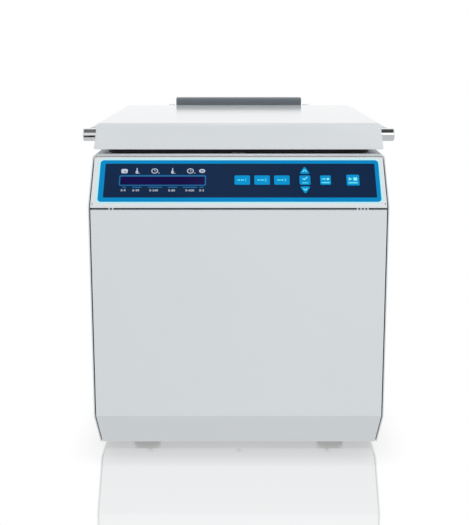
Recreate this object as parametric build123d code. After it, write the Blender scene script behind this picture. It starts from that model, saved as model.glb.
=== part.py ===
"""Bench centrifugal evaporator with a hinged lid, a refrigerated bowl and a sloped keypad.

Frame: millimetres, +Z up, the front faces -Y, X runs to the right. The origin is the bottom
centre of the bounding box, on the bench. One STEP file is written for each sub-part.
"""
from build123d import *
import math
import os

# Cabinet
BODY_W = 400.0
CREST_OUT = 16.5
REAR_BACK = 27.0
UNDER_Z = 12.2
DECK_Z = 425.0
FRONT_BEVEL = 60.6
PANEL_BEVEL = 59.0
SIDE_T = 1.4
SHEET_T = 1.2
DECK_T = 1.5
TRAY_T = 2.0
TRAY_LIP = 25.0
TRAY_SLOT_FROM = 90.0
TRAY_SLOT_TO = 10.0
TRAY_SLOT_Y = -120.0
TRAY_SLOT_PITCH = 12.0
TRAY_SLOT_W = 4.0
TRAY_SLOT_COUNT = 10
SIDE_GAP = 1.8
KNEE_GAP = 2.8
KNEE_LIP = 2.7
BEZEL_CORNER_R = 4.0
BEZEL_FIT = 0.5
SEAM = 0.8
FIT = 0.3
PAN_DEPTH = 12.0
PAN_LIP = 34.0
PAN_LAP = 16.0
BEND_R = 1.6
POST_LEG = 15.0
POST_T = 1.5
POST_FRONT_IN = 80.0
KNEE_TABS_RIGHT = (157.0, 161.6, 166.2, 170.8)
KNEE_TABS_LEFT = (-173.0, -168.4)
TAB_W = 1.8
RELIEF_R = 1.1

# Feet and fasteners
FOOT_R = 20.0
FOOT_SIDE_IN = 62.0
FOOT_FRONT_IN = 130.0
FOOT_REAR_IN = 43.0
SCREW_R = 2.0
HEAD_R = 3.8
HEAD_T = 2.2
SCREW_LEN = 6.0
SCREW_CLEAR = 0.15
SCREW_LOW_Z = 62.0
SIDE_SCREW_DROP = 27.0
REAR_SCREW_DROP = 57.0
LIP_SCREW_X = (-130.0, 0.0, 130.0)

# Louvres
LOUVRE_W = 62.0
LOUVRE_H = 3.4
LOUVRE_PITCH = 9.0
LOUVRE_COUNT = 12
SIDE_LOUVRE_Z = 80.0
SIDE_LOUVRE_IN = (178.0, 98.0)
REAR_LOUVRE_Z = 150.0
REAR_LOUVRE_IN = (130.0, 58.0)

# Control panel: X across, S up the slope from the knee
BEZEL_T = 1.5
OVERLAY_T = 0.4
OVERLAY_LEFT_IN = 8.8
OVERLAY_RIGHT_IN = 6.8
OVERLAY_S0 = 6.5
OVERLAY_S1 = 77.0
OVERLAY_R = 5.0
WINDOW_IN = 26.4
WINDOW_W = 118.1
WINDOW_S0 = 32.8
WINDOW_S1 = 51.8
WINDOW_R = 2.5
WINDOW_BEHIND = 1.6
KEY_PROUD = 0.5
KEY_BODY = 3.2
KEY_FLANGE = 1.1
KEY_FLANGE_T = 1.0
KEY_TRAVEL = 0.4
KEY_CLEAR = 0.3
KEY_R = 1.6
KEY_ROW_S = 42.6
KEY_ROW_H = 15.5
PROGRAM_W = 20.9
PROGRAM_BEFORE_ARROW = (84.4, 57.7, 31.1)
ARROW_BEFORE_RECALL = 27.7
ARROW_W = 14.6
ARROW_H = 12.8
ARROW_GAP = 3.0
ARROW_CUT = 1.6
RECALL_BEFORE_START = 36.9
RECALL_W = 14.3
START_IN = 36.2
START_W = 17.1
START_H = 18.0
BOARD_LEFT_IN = 16.0
BOARD_RIGHT_IN = 14.0
BOARD_S0 = 15.0
BOARD_S1 = 69.0
BOARD_DROP = 8.0
BOARD_T = 1.6
STUD_R = 2.5
STUD_S = (19.0, 65.0)
STUD_IN = 6.0
STUD_MIDDLE_X = -20.0
DRIVER_X = (-130.0, -90.0)
DRIVER_S = (24.0, 52.0)
DRIVER_H = 6.0
CHIP_X = (60.0, 84.0)
CHIP_S = (26.0, 50.0)
CHIP_H = 3.0
SWITCH_W = 6.0

# Lid
LID_OVER = 1.0
LID_FRONT_RIM = 18.5
LID_REAR_RIM = 19.0
LID_GAP = 8.2
LID_H = 36.0
LID_DRAFT = 4.1
LID_WALL = 2.5
LID_LIP_T = 1.2
LID_CORNER_R = 6.0
LID_EDGE_R = 5.0
LINER_RIM = 5.5
LINER_CLEAR = 1.5
LINER_FRONT_REACH = 23.5
LINER_REAR_REACH = 14.5
LINER_DROP = 6.3
LINER_R = 14.0
PLATE_OVER = 5.0
PLATE_T = 12.0
PLATE_HEM = 6.0
PLATE_RECESS = 3.0
PLATE_RECESS_IN = 8.0
PLATE_SCREW_IN = 20.0
PLATE_SCREW_DEPTH = 9.0
LINER_FLANGE = 6.0
LINER_FLANGE_T = 2.0
GRIP_R = 9.0
GRIP_REACH = 17.0
GRIP_IN = 29.5
GRIP_UP = 18.0
GRIP_END_R = 1.8
GRIP_COLLAR_R = 12.0
GRIP_COLLAR_IN = 15.0
GRIP_COLLAR_T = 6.0
RAIL_OUT = 9.5
RAIL_UP = 12.5
RAIL_H = 14.5
RAIL_FRONT_IN = 43.5
RAIL_REAR_IN = 11.0
RAIL_EDGE_R = 2.5

# Hinge
HINGE_BACK = 30.0
HINGE_UP = 32.0
COVER_HALF = 111.0
COVER_GAP = 9.6
COVER_REAR_IN = 6.6
COVER_H = 55.6
COVER_T = 2.0
COVER_FRONT_R = 5.0
COVER_REAR_R = 6.0
HINGE_SHAFT_R = 6.0
HINGE_SHAFT_OVER = 3.0
ARM_OUT = 4.0
ARM_T = 10.0
ARM_EYE_R = 12.0
ARM_DOWN = 15.0
ARM_UP = 9.0
BLOCK_T = 18.0
BLOCK_IN = 9.0
BLOCK_R = 14.0
BUSH_R = 8.5
BUSH_RUN = 0.05
SPRING_WIRE_R = 1.6
SPRING_R = 10.5
SPRING_TURNS = 11
SPRING_PITCH = 4.2
SPRING_GAP = 11.8

# Chamber
BOWL_MARGIN = 45.0
BOWL_T = 1.2
BOWL_DEPTH = 130.0
BOWL_KNUCKLE_R = 14.0
BOWL_RIM = 18.0
GASKET_IN = 5.0
GASKET_W = 11.0
GASKET_H = 6.5
COIL_TUBE_R = 4.0
COIL_TURNS = 7
COIL_PITCH = 12.0
COIL_UP = 7.8
COIL_GAP = 0.4
JACKET_T = 25.0
JACKET_STAVES = 16
JACKET_BASE_T = 22.0
JACKET_TOP_GAP = 0.4

# Drive and rotor
MOTOR_R = 55.0
MOTOR_DROP = 48.2
MOTOR_H = 118.0
MOTOR_FIN_COUNT = 24
SHAFT_R = 6.0
SHAFT_RUN = 0.05
SHAFT_OVER = 22.0
SEAL_R = 29.6
SEAL_DEPTH = 14.0
SEAL_NECK_R = 18.0
SEAL_STEP = 8.0
SEAL_RIM = 7.0
SEAL_RIM_T = 2.5
SEAL_LIP_R = 14.0
SEAL_UP = 6.0
ROTOR_RIM = 9.7
ROTOR_PLATE_T = 4.0
ROTOR_OVER = 17.8
ROTOR_DROP = 45.0
ROTOR_HUB_R = 24.0
ROTOR_HUB_UP = 26.0
ROTOR_HUB_DOWN = 7.0
TOP_HUB_R = 20.0
TOP_HUB_UP = 4.0
TOP_HUB_DOWN = 6.0
TUBE_COUNT = 10
TUBE_HOLE_R = 15.3
TUBE_PCD_R = 90.0
POCKET_R = 8.0
PILLAR_COUNT = 5
PILLAR_R = 5.0
PILLAR_PCD_R = 56.0
NUT_R = 17.0
NUT_H = 22.0
NUT_FLUTES = 12
BRACKET_W = 190.0
BRACKET_T = 5.0
BRACKET_POST_R = 9.0
BRACKET_POST_XY = 82.0

# Cold system
COMP_SIDE_IN = 90.0
COMP_REAR_IN = 110.0
COMP_R = 58.0
COMP_Z0 = 44.0
COMP_H = 150.0
COMP_FOOT = 104.0
COMP_BOX_IN = 8.0
COMP_BOX_OUT = 14.0
COMP_BOX_HALF = 20.0
COMP_BOX_LOW = 40.0
COMP_BOX_HIGH = 100.0
MOUNT_R = 9.0
COND_SIDE_IN = 28.0
COND_W = 152.0
COND_REAR_IN = 108.0
COND_D = 44.0
COND_Z0 = 76.0
COND_DROP = 46.7
COND_FIN_T = 0.8
COND_FINS = 26
COND_TUBE_R = 4.0
COND_ROWS = 6
PIPE_R = 4.0
PIPE_BEND_R = 10.0
PIPE_RISE = 14.0
PIPE_SPREAD = 20.0
PIPE_INSET = 30.0
PIPE_END_Y = 60.0
FAN_FRAME = 152.0
FAN_DEPTH = 38.0
FAN_BORE_R = 70.0
FAN_TIP_R = 66.5
FAN_HUB_R = 27.0
FAN_BLADES = 7
FAN_BLADE_W = 30.0
FAN_BLADE_T = 1.8
FAN_HUB_Y0 = 5.0
FAN_HUB_LEN = 28.0
FAN_PIN_LEN = 24.0
FAN_STRUT_W = 8.0
FAN_STRUT_T = 4.0
FAN_PIN_R = 4.0
GUARD_WIRE_R = 1.5
GUARD_BAR_W = 5.0
GUARD_BAR_T = 2.4
GUARD_RINGS = 6
GUARD_PITCH = 11.0

# Rear services
PORT_X = 60.0
PORT_DROP = 26.0
PORT_R = 6.0
PORT_BORE_R = 4.0
PORT_PROUD = 27.0
PORT_FLANGE_R = 14.0
PORT_FLANGE_T = 4.0
ENTRY_IN = 80.0
ENTRY_Z = 78.0
ENTRY_W = 80.0
ENTRY_H = 50.0
ENTRY_DEPTH = 32.0
ENTRY_FLANGE_T = 3.0
INLET_W = 25.0
INLET_H = 17.0
INLET_DEPTH = 17.0
ROCKER_W = 13.0
ROCKER_H = 19.0
ROCKER_BACK = 8.0
ROCKER_PROUD = 6.0
ROCKER_PIN_R = 1.5
ROCKER_TILT = 8.0
ROCKER_CLEAR = 0.4
SUPPLY_SIDE_IN = 22.0
SUPPLY_CLEAR = 3.0
SUPPLY_FRONT_IN = 105.0
SUPPLY_D = 160.0
SUPPLY_H = 44.0

# Lid lock
STRIKER_IN = 5.0
STRIKER_D = 6.0
STRIKER_HALF = 9.0
STRIKER_DROP = 24.0
STRIKER_EAR = 7.0
STRIKER_T = 2.5
BOLT_R = 4.0
BOLT_DROP = 15.5
BOLT_BACK = 8.5
BOLT_TRAVEL = 14.0
BOLT_LEN = 22.0
SOLENOID_D = 26.0
SOLENOID_BACK = 2.5
SOLENOID_HALF = 17.0
SOLENOID_DROP = 3.0
SOLENOID_H = 26.0
SOLENOID_EAR = 9.0
BOLT_CLEAR = 0.3

# Values that follow
BODY_HALF = BODY_W / 2
BOWL_R = BODY_HALF - BOWL_MARGIN
GASKET_R0 = BOWL_R + GASKET_IN
GASKET_R1 = GASKET_R0 + GASKET_W
PLATE_R = GASKET_R1 + PLATE_OVER
LINER_BORE_R = PLATE_R + LINER_CLEAR
LINER_FRONT_Y = -(LINER_BORE_R + LINER_FRONT_REACH)
LINER_REAR_Y = LINER_BORE_R + LINER_REAR_REACH
LID_FRONT_Y = LINER_FRONT_Y - LID_FRONT_RIM
LID_REAR_Y = LINER_REAR_Y + LID_REAR_RIM
CREST_Y = LID_FRONT_Y - CREST_OUT
FRONT_Y = CREST_Y - PANEL_BEVEL
GRIP_Y = LID_FRONT_Y + GRIP_IN
RAIL_FRONT_Y = LID_FRONT_Y + RAIL_FRONT_IN
RAIL_REAR_Y = LID_REAR_Y - RAIL_REAR_IN
HINGE_Y = LID_REAR_Y + HINGE_BACK
REAR_Y = HINGE_Y + REAR_BACK
COVER_FRONT_Y = LID_REAR_Y + COVER_GAP
COVER_REAR_Y = REAR_Y - COVER_REAR_IN
ARM_X0 = COVER_HALF + ARM_OUT
ARM_X1 = ARM_X0 + ARM_T
HINGE_SHAFT_HALF = ARM_X1 + HINGE_SHAFT_OVER
BLOCK_X1 = COVER_HALF - BLOCK_IN
BLOCK_X0 = BLOCK_X1 - BLOCK_T
SPRING_X0 = BLOCK_X0 - SPRING_GAP - SPRING_TURNS * SPRING_PITCH
POST_FRONT_Y = FRONT_Y + POST_FRONT_IN
FOOT_X = BODY_HALF - FOOT_SIDE_IN
FOOT_FRONT_Y = FRONT_Y + FOOT_FRONT_IN
FOOT_REAR_Y = REAR_Y - FOOT_REAR_IN
SIDE_LOUVRE_Y = [REAR_Y - inset for inset in SIDE_LOUVRE_IN]
REAR_LOUVRE_X = [BODY_HALF - inset for inset in REAR_LOUVRE_IN]
ROTOR_R = TUBE_PCD_R + TUBE_HOLE_R + ROTOR_RIM
COMP_X = BODY_HALF - COMP_SIDE_IN
COMP_Y = REAR_Y - COMP_REAR_IN
COND_X0 = -(BODY_HALF - COND_SIDE_IN)
COND_X1 = COND_X0 + COND_W
COND_Y0 = REAR_Y - COND_REAR_IN
COND_Y1 = COND_Y0 + COND_D
PORT_END_Y = REAR_Y + PORT_PROUD
ENTRY_X = BODY_HALF - ENTRY_IN
SUPPLY_X0 = -(BODY_HALF - SUPPLY_SIDE_IN)
SUPPLY_X1 = -(BRACKET_W / 2 + SUPPLY_CLEAR)
SUPPLY_Y0 = FRONT_Y + SUPPLY_FRONT_IN
SUPPLY_Y1 = SUPPLY_Y0 + SUPPLY_D
STRIKER_Y0 = LINER_FRONT_Y + STRIKER_IN
STRIKER_Y1 = STRIKER_Y0 + STRIKER_D
BOLT_TIP_Y = STRIKER_Y0 - BOLT_BACK
SOLENOID_Y1 = BOLT_TIP_Y - SOLENOID_BACK
SOLENOID_Y0 = SOLENOID_Y1 - SOLENOID_D
TRAY_SLOT_X0 = COMP_X - TRAY_SLOT_FROM
TRAY_SLOT_X1 = COMP_X - TRAY_SLOT_TO
LID_W = BODY_W + 2 * LID_OVER
LID_HALF = LID_W / 2
SIDE_IN_X = BODY_HALF - SIDE_T
FACE_HALF = SIDE_IN_X - SIDE_GAP
OVERLAY_X0 = -(FACE_HALF - OVERLAY_LEFT_IN)
OVERLAY_X1 = FACE_HALF - OVERLAY_RIGHT_IN
WINDOW_X0 = OVERLAY_X0 + WINDOW_IN
WINDOW_X1 = WINDOW_X0 + WINDOW_W
START_X = OVERLAY_X1 - START_IN
RECALL_X = START_X - RECALL_BEFORE_START
ARROW_X = RECALL_X - ARROW_BEFORE_RECALL
PROGRAM_X = [ARROW_X - before for before in PROGRAM_BEFORE_ARROW]
BOARD_X0 = OVERLAY_X0 + BOARD_LEFT_IN
BOARD_X1 = OVERLAY_X1 - BOARD_RIGHT_IN
STUD_X = (BOARD_X0 + STUD_IN, STUD_MIDDLE_X, BOARD_X1 - STUD_IN)
BEVEL_Z = UNDER_Z + FRONT_BEVEL
LOW_FRONT_Y = FRONT_Y + FRONT_BEVEL
KNEE_Z = DECK_Z - PANEL_BEVEL
LIP_Z = KNEE_Z - KNEE_LIP
FACE_TOP_Z = LIP_Z - KNEE_GAP
TRAY_Z0 = UNDER_Z + SHEET_T
TRAY_Z1 = TRAY_Z0 + TRAY_T
REAR_IN_Y = REAR_Y - SHEET_T
DECK_Z0 = DECK_Z - DECK_T
SIDE_SCREW_TOP_Z = DECK_Z - SIDE_SCREW_DROP
REAR_SCREW_TOP_Z = DECK_Z - REAR_SCREW_DROP
BOWL_FLANGE_R = BOWL_R + BOWL_RIM
BOWL_TOP_Z = DECK_Z + BOWL_T
BOWL_FLOOR_Z = BOWL_TOP_Z - BOWL_DEPTH
GASKET_TOP_Z = BOWL_TOP_Z + GASKET_H
COIL_Z0 = BOWL_FLOOR_Z + COIL_UP
JACKET_R = BOWL_R + JACKET_T
JACKET_Z1 = BOWL_FLOOR_Z - BOWL_T - FIT
JACKET_Z0 = JACKET_Z1 - JACKET_BASE_T
MOTOR_Z1 = BOWL_FLOOR_Z - MOTOR_DROP
MOTOR_Z0 = MOTOR_Z1 - MOTOR_H
ROTOR_BASE_Z = BOWL_FLOOR_Z + ROTOR_OVER
ROTOR_TOP_PLATE_Z = DECK_Z - ROTOR_DROP
SHAFT_TOP_Z = ROTOR_TOP_PLATE_Z + SHAFT_OVER
COND_Z1 = JACKET_Z0 - COND_DROP
FAN_X = (COND_X0 + COND_X1) / 2
FAN_Z = (COND_Z0 + COND_Z1) / 2
PORT_Z = DECK_Z - PORT_DROP
LID_BASE_Z = DECK_Z + LID_GAP
LID_TOP_Z = LID_BASE_Z + LID_H
PLATE_Z0 = GASKET_TOP_Z + FIT
PLATE_FLANGE_R = PLATE_R + PLATE_HEM
LINER_W = 2 * (LINER_BORE_R + LINER_RIM)
LINER_BASE_Z = LID_BASE_Z - LINER_DROP
LINER_TOP_Z = LID_BASE_Z + LID_LIP_T + LINER_FLANGE_T
GRIP_HALF = LID_HALF + GRIP_REACH
GRIP_Z = LID_BASE_Z + GRIP_UP
GRIP_COLLAR_X0 = LID_HALF - GRIP_COLLAR_IN
GRIP_COLLAR_X1 = GRIP_COLLAR_X0 + GRIP_COLLAR_T
RAIL_X = LID_HALF + RAIL_OUT
RAIL_Z0 = LID_BASE_Z + RAIL_UP
RAIL_Z1 = RAIL_Z0 + RAIL_H
HINGE_Z = DECK_Z + HINGE_UP
COVER_TOP_Z = DECK_Z + COVER_H
ARM_Z0 = HINGE_Z - ARM_DOWN
ARM_Z1 = HINGE_Z + ARM_UP
STRIKER_LOW_Z = DECK_Z - STRIKER_DROP
BOLT_Z = DECK_Z - BOLT_DROP
SOLENOID_Z1 = DECK_Z - SOLENOID_DROP
SOLENOID_Z0 = SOLENOID_Z1 - SOLENOID_H
ROOT2 = math.sqrt(2)

# The sloped panel's own plane: X across, Y up the slope, Z out of the face
PANEL = Plane(origin=(0, FRONT_Y, KNEE_Z), x_dir=(1, 0, 0), z_dir=(0, -1, 1))


def save(node, *shapes):
    """Write one node's solids to parts/NODE.step."""
    solids = [solid for shape in shapes for solid in shape.solids()]
    shape = solids[0] if len(solids) == 1 else Compound(solids)
    export_step(shape, f"parts/{node}.step")


def block(x0, x1, y0, y1, z0, z1):
    """Box between two corners."""
    size = Box(x1 - x0, y1 - y0, z1 - z0)
    return Pos((x0 + x1) / 2, (y0 + y1) / 2, (z0 + z1) / 2) * size


def rod_z(x, y, z0, z1, radius):
    """Cylinder along Z."""
    return Pos(x, y, (z0 + z1) / 2) * Cylinder(radius, z1 - z0)


def rod_y(x, z, y0, y1, radius):
    """Cylinder along Y."""
    return Pos(x, (y0 + y1) / 2, z) * Rot(90, 0, 0) * Cylinder(radius, y1 - y0)


def rod_x(y, z, x0, x1, radius):
    """Cylinder along X."""
    return Pos((x0 + x1) / 2, y, z) * Rot(0, 90, 0) * Cylinder(radius, x1 - x0)


def prism_x(points, x0, x1):
    """Polygon of (y, z) points, extruded from x0 to x1."""
    face = Face(Wire.make_polygon([Vector(x0, y, z) for y, z in points]))
    return extrude(face, amount=x1 - x0, dir=(1, 0, 0))


def turned(points, x=0.0, y=0.0):
    """Polygon of (radius, z) points, turned about a vertical axis through (x, y)."""
    face = Face(Wire.make_polygon([Vector(r, 0, z) for r, z in points]))
    return Pos(x, y, 0) * revolve(face, Axis.Z, 360)


def on_panel(shape):
    """Move a shape from the sloped panel's plane into the frame."""
    return PANEL.location * shape


def panel_block(x0, x1, s0, s1, n0, n1, radius=0.0):
    """Block on the sloped panel, with rounded corners in its face."""
    sketch = Rectangle(x1 - x0, s1 - s0)
    if radius:
        sketch = fillet(sketch.vertices(), radius)
    solid = extrude(sketch, amount=n1 - n0)
    return on_panel(Pos((x0 + x1) / 2, (s0 + s1) / 2, n0) * solid)


def biarc(start, start_way, end, end_way):
    """Two tangent arcs that join two points with given directions."""
    span = end - start
    both = start_way + end_way
    square = 2 * (1 - start_way.dot(end_way))
    along = span.dot(both)
    reach = (-along + math.sqrt(along * along + square * span.dot(span))) / square
    near = start + start_way * reach
    far = end - end_way * reach
    middle = (near + far) * 0.5
    way = (far - near).normalized()
    return [TangentArc(start, middle, tangent=start_way), TangentArc(middle, end, tangent=way)]


def coil(radius, pitch, turns, wire_r):
    """Tube wound round +Z from z = 0, as one unbroken solid."""
    slope = pitch / (2 * math.pi)
    edges = []
    for step in range(2 * turns):
        ends = []
        for angle in (step * math.pi, (step + 1) * math.pi):
            point = Vector(radius * math.cos(angle), radius * math.sin(angle), slope * angle)
            way = Vector(-radius * math.sin(angle), radius * math.cos(angle), slope)
            ends += [point, way.normalized()]
        edges += biarc(*ends)
    path = Wire(edges)
    start = Plane(origin=path @ 0, z_dir=path % 0)
    return sweep(start * Circle(wire_r), path=path)


def gap_of_coil(radius, pitch, wire_r):
    """Least gap between neighbouring turns of a coil."""
    slope = math.atan2(pitch, 2 * math.pi * radius)
    return pitch * math.cos(slope) - 2 * wire_r


def tube_path(points, bend_r, tube_r):
    """Round tube through points, with arcs at the bends."""
    line = FilletPolyline(*points, radius=bend_r)
    wire = line.wire() if hasattr(line, "wire") else Wire(line.edges())
    start = Plane(origin=wire @ 0, z_dir=wire % 0)
    return sweep(start * Circle(tube_r), path=wire)


# Places shared by screws and the holes that they go through
SIDE_SCREW_Z = (SCREW_LOW_Z, (SCREW_LOW_Z + SIDE_SCREW_TOP_Z) / 2, SIDE_SCREW_TOP_Z)
FRONT_SCREW_Y = POST_FRONT_Y + POST_LEG / 2
REAR_SCREW_Y = REAR_IN_Y - POST_LEG / 2
REAR_SCREW_X = SIDE_IN_X - TRAY_T - POST_LEG / 2
REAR_SCREW_Z = (SCREW_LOW_Z, (SCREW_LOW_Z + REAR_SCREW_TOP_Z) / 2, REAR_SCREW_TOP_Z)
LIP_SCREW_Y = LOW_FRONT_Y + PAN_LIP - PAN_LAP / 2
SIDE_SCREWS = [(y, z) for y in (FRONT_SCREW_Y, REAR_SCREW_Y) for z in SIDE_SCREW_Z]
REAR_SCREWS = [(side * REAR_SCREW_X, z) for side in (-1, 1) for z in REAR_SCREW_Z]


def screw(head_end, way):
    """Pan-head screw whose head rests at head_end and whose shank runs along way."""
    plane = Plane(origin=head_end, z_dir=way)
    head = Pos(0, 0, -HEAD_T / 2) * Cylinder(HEAD_R, HEAD_T)
    head = fillet(head.edges().group_by(Axis.Z)[0], 1.0)
    socket = Pos(0, 0, -HEAD_T) * extrude(RegularPolygon(1.5, 6), amount=1.2)
    shank = Pos(0, 0, SCREW_LEN / 2) * Cylinder(SCREW_R, SCREW_LEN)
    return plane.location * (head + shank - socket)


def side_panel(side):
    """Flat cheek that closes one side of the cabinet, louvred low at the back."""
    outline = [
        (REAR_Y, UNDER_Z),
        (LOW_FRONT_Y, UNDER_Z),
        (FRONT_Y, BEVEL_Z),
        (FRONT_Y, KNEE_Z),
        (CREST_Y, DECK_Z),
        (REAR_Y, DECK_Z),
    ]
    x0, x1 = sorted((side * SIDE_IN_X, side * BODY_HALF))
    panel = prism_x(outline, x0, x1)
    cuts = []
    for row in range(LOUVRE_COUNT):
        z = SIDE_LOUVRE_Z + row * LOUVRE_PITCH
        for y in SIDE_LOUVRE_Y:
            cuts.append(block(x0 - 1, x1 + 1, y - LOUVRE_W / 2, y + LOUVRE_W / 2, z, z + LOUVRE_H))
    for y, z in SIDE_SCREWS:
        cuts.append(rod_x(y, z, x0 - 1, x1 + 1, SCREW_R + SCREW_CLEAR))
    return panel - cuts


def front_panel():
    """Folded front: face, lower bevel and bottom lip, with side returns and knee tabs."""
    shift = PAN_DEPTH * ROOT2
    back_y = LOW_FRONT_Y + UNDER_Z - TRAY_Z0 + shift
    turn_z = back_y + TRAY_Z0 - (FRONT_Y + PAN_DEPTH)
    lip_y = LOW_FRONT_Y + PAN_LIP
    outside = prism_x([
        (FRONT_Y, FACE_TOP_Z),
        (FRONT_Y, BEVEL_Z),
        (LOW_FRONT_Y, UNDER_Z),
        (lip_y, UNDER_Z),
        (lip_y, TRAY_Z0),
        (back_y, TRAY_Z0),
        (FRONT_Y + PAN_DEPTH, turn_z),
        (FRONT_Y + PAN_DEPTH, FACE_TOP_Z),
    ], -FACE_HALF, FACE_HALF)
    creases = outside.edges().filter_by(Axis.X).sort_by(Axis.Y)
    outside = fillet([creases[0], creases[1]], BEND_R)
    slip = SHEET_T * ROOT2
    inner_y = FRONT_Y + SHEET_T
    inside = prism_x([
        (inner_y, FACE_TOP_Z - SHEET_T),
        (inner_y, LOW_FRONT_Y + UNDER_Z + slip - inner_y),
        (LOW_FRONT_Y + UNDER_Z + slip - TRAY_Z0, TRAY_Z0),
        (back_y + 1, TRAY_Z0),
        (FRONT_Y + PAN_DEPTH + 1, turn_z + 1),
        (FRONT_Y + PAN_DEPTH + 1, FACE_TOP_Z - SHEET_T),
    ], -FACE_HALF + SHEET_T, FACE_HALF - SHEET_T)
    panel = outside - inside
    for x in KNEE_TABS_RIGHT + KNEE_TABS_LEFT:
        panel += block(x, x + TAB_W, FRONT_Y + 1.6, FRONT_Y + 9, FACE_TOP_Z - 0.2, LIP_Z - 0.1)
    holes = [rod_z(x, LIP_SCREW_Y, 0, TRAY_Z0 + 1, SCREW_R + SCREW_CLEAR) for x in LIP_SCREW_X]
    return panel - holes


def key_outlines():
    """Face outline of each key, on the sloped panel."""
    outlines = {}
    for number, x in enumerate(PROGRAM_X, start=1):
        face = fillet(Rectangle(PROGRAM_W, KEY_ROW_H).vertices(), KEY_R)
        outlines[f"key_program_{number}"] = Pos(x, KEY_ROW_S) * face
    for node, x, width, height in (
        ("key_enter", ARROW_X, ARROW_W, KEY_ROW_H),
        ("key_recall", RECALL_X, RECALL_W, KEY_ROW_H),
        ("key_start_stop", START_X, START_W, START_H),
    ):
        face = fillet(Rectangle(width, height).vertices(), KEY_R)
        outlines[node] = Pos(x, KEY_ROW_S) * face
    for node, way in (("key_up", 1), ("key_down", -1)):
        base = way * (KEY_ROW_H / 2 + ARROW_GAP)
        corners = [(-ARROW_W / 2, base), (ARROW_W / 2, base), (0, base + way * ARROW_H)]
        face = fillet(make_face(Polyline(*corners, close=True)).vertices(), ARROW_CUT)
        outlines[node] = Pos(ARROW_X, KEY_ROW_S) * face
    return outlines


def panel_slab(face, n0, n1):
    """Slab of a panel outline between two depths along the panel's normal."""
    return on_panel(Pos(0, 0, n0) * extrude(face, amount=n1 - n0, dir=(0, 0, 1)))


def key_cap(face):
    """Key with a flange that stops it behind the bezel."""
    flange = offset(face, amount=KEY_FLANGE, kind=Kind.ARC)
    cap = panel_slab(face, -KEY_BODY, OVERLAY_T + KEY_PROUD)
    return cap + panel_slab(flange, -KEY_BODY, -KEY_BODY + KEY_FLANGE_T)


def board_holes(radius, n0, n1):
    """Cylinders at the six places where the control board is screwed to the bezel."""
    rods = []
    for x in STUD_X:
        for s in STUD_S:
            rods.append(on_panel(Pos(x, s, (n0 + n1) / 2) * Cylinder(radius, n1 - n0)))
    return rods


def control_bezel(faces):
    """Sloped frame round the keypad, folded back at its edges, with studs behind it."""
    crest_z = DECK_Z - SEAM / 2
    crest_y = CREST_Y - SEAM / 2
    drop = PAN_DEPTH + BEZEL_FIT
    outside = prism_x([
        (FRONT_Y, LIP_Z),
        (FRONT_Y, KNEE_Z),
        (crest_y, crest_z),
        (crest_y, crest_z - drop),
        (FRONT_Y + PAN_DEPTH, LIP_Z),
    ], -FACE_HALF, FACE_HALF)
    upright = outside.edges().filter_by(Axis.Z).sort_by(Axis.Y)[-2:]
    outside = fillet(upright, BEZEL_CORNER_R)
    line = KNEE_Z - FRONT_Y - BEZEL_T * ROOT2
    front = FRONT_Y + BEZEL_T
    low = LIP_Z + BEZEL_T
    back = crest_y - BEZEL_T
    inside = prism_x([
        (front, low),
        (front, front + line),
        (back, back + line),
        (back, low),
    ], -FACE_HALF + BEZEL_T, FACE_HALF - BEZEL_T)
    upright = inside.edges().filter_by(Axis.Z).sort_by(Axis.Y)[-2:]
    inside = fillet(upright, BEZEL_CORNER_R - BEZEL_T)
    bezel = outside - inside
    cuts = [panel_block(WINDOW_X0, WINDOW_X1, WINDOW_S0, WINDOW_S1, -5, 5, WINDOW_R)]
    for face in faces.values():
        cuts.append(panel_slab(offset(face, amount=KEY_CLEAR, kind=Kind.ARC), -2, 2))
    for side in (-1, 1):
        notch = Pos(side * (FACE_HALF - 2.2), 3.4, -2) * Cylinder(RELIEF_R, 9)
        cuts.append(on_panel(notch))
    bezel = bezel - cuts
    studs = board_holes(STUD_R, -BOARD_DROP, -BEZEL_T)
    return bezel.fuse(*studs)


def keypad_overlay(faces):
    """Printed film on the bezel, open at the window and the keys."""
    film = panel_block(OVERLAY_X0, OVERLAY_X1, OVERLAY_S0, OVERLAY_S1, 0, OVERLAY_T, OVERLAY_R)
    cuts = [panel_block(WINDOW_X0, WINDOW_X1, WINDOW_S0, WINDOW_S1, -1, 1, WINDOW_R)]
    for face in faces.values():
        cuts.append(panel_slab(offset(face, amount=KEY_CLEAR, kind=Kind.ARC), -1, 1))
    return film - cuts


def display_window():
    """Clear pane in the bezel over the display."""
    gap = 0.1
    return panel_block(
        WINDOW_X0 + gap, WINDOW_X1 - gap, WINDOW_S0 + gap, WINDOW_S1 - gap,
        -WINDOW_BEHIND, OVERLAY_T, WINDOW_R - gap,
    )


def control_board(faces):
    """Circuit board behind the keys, with its display, switches and a chip."""
    board = panel_block(BOARD_X0, BOARD_X1, BOARD_S0, BOARD_S1, -BOARD_DROP - BOARD_T, -BOARD_DROP, 2)
    board = board - board_holes(SCREW_R + SCREW_CLEAR, -20, 0)
    display = panel_block(
        WINDOW_X0 + 2, WINDOW_X1 - 2, WINDOW_S0 + 2, WINDOW_S1 - 2, -BOARD_DROP, -WINDOW_BEHIND - 0.8,
    )
    board += display
    half = SWITCH_W / 2
    for face in faces.values():
        c = face.center()
        top = -KEY_BODY - KEY_TRAVEL - 0.2
        board += panel_block(c.X - half, c.X + half, c.Y - half, c.Y + half, -BOARD_DROP, top)
    low = -BOARD_DROP - BOARD_T
    board += panel_block(*DRIVER_X, *DRIVER_S, low - DRIVER_H, low)
    board += panel_block(*CHIP_X, *CHIP_S, low - CHIP_H, low)
    return board


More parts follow.
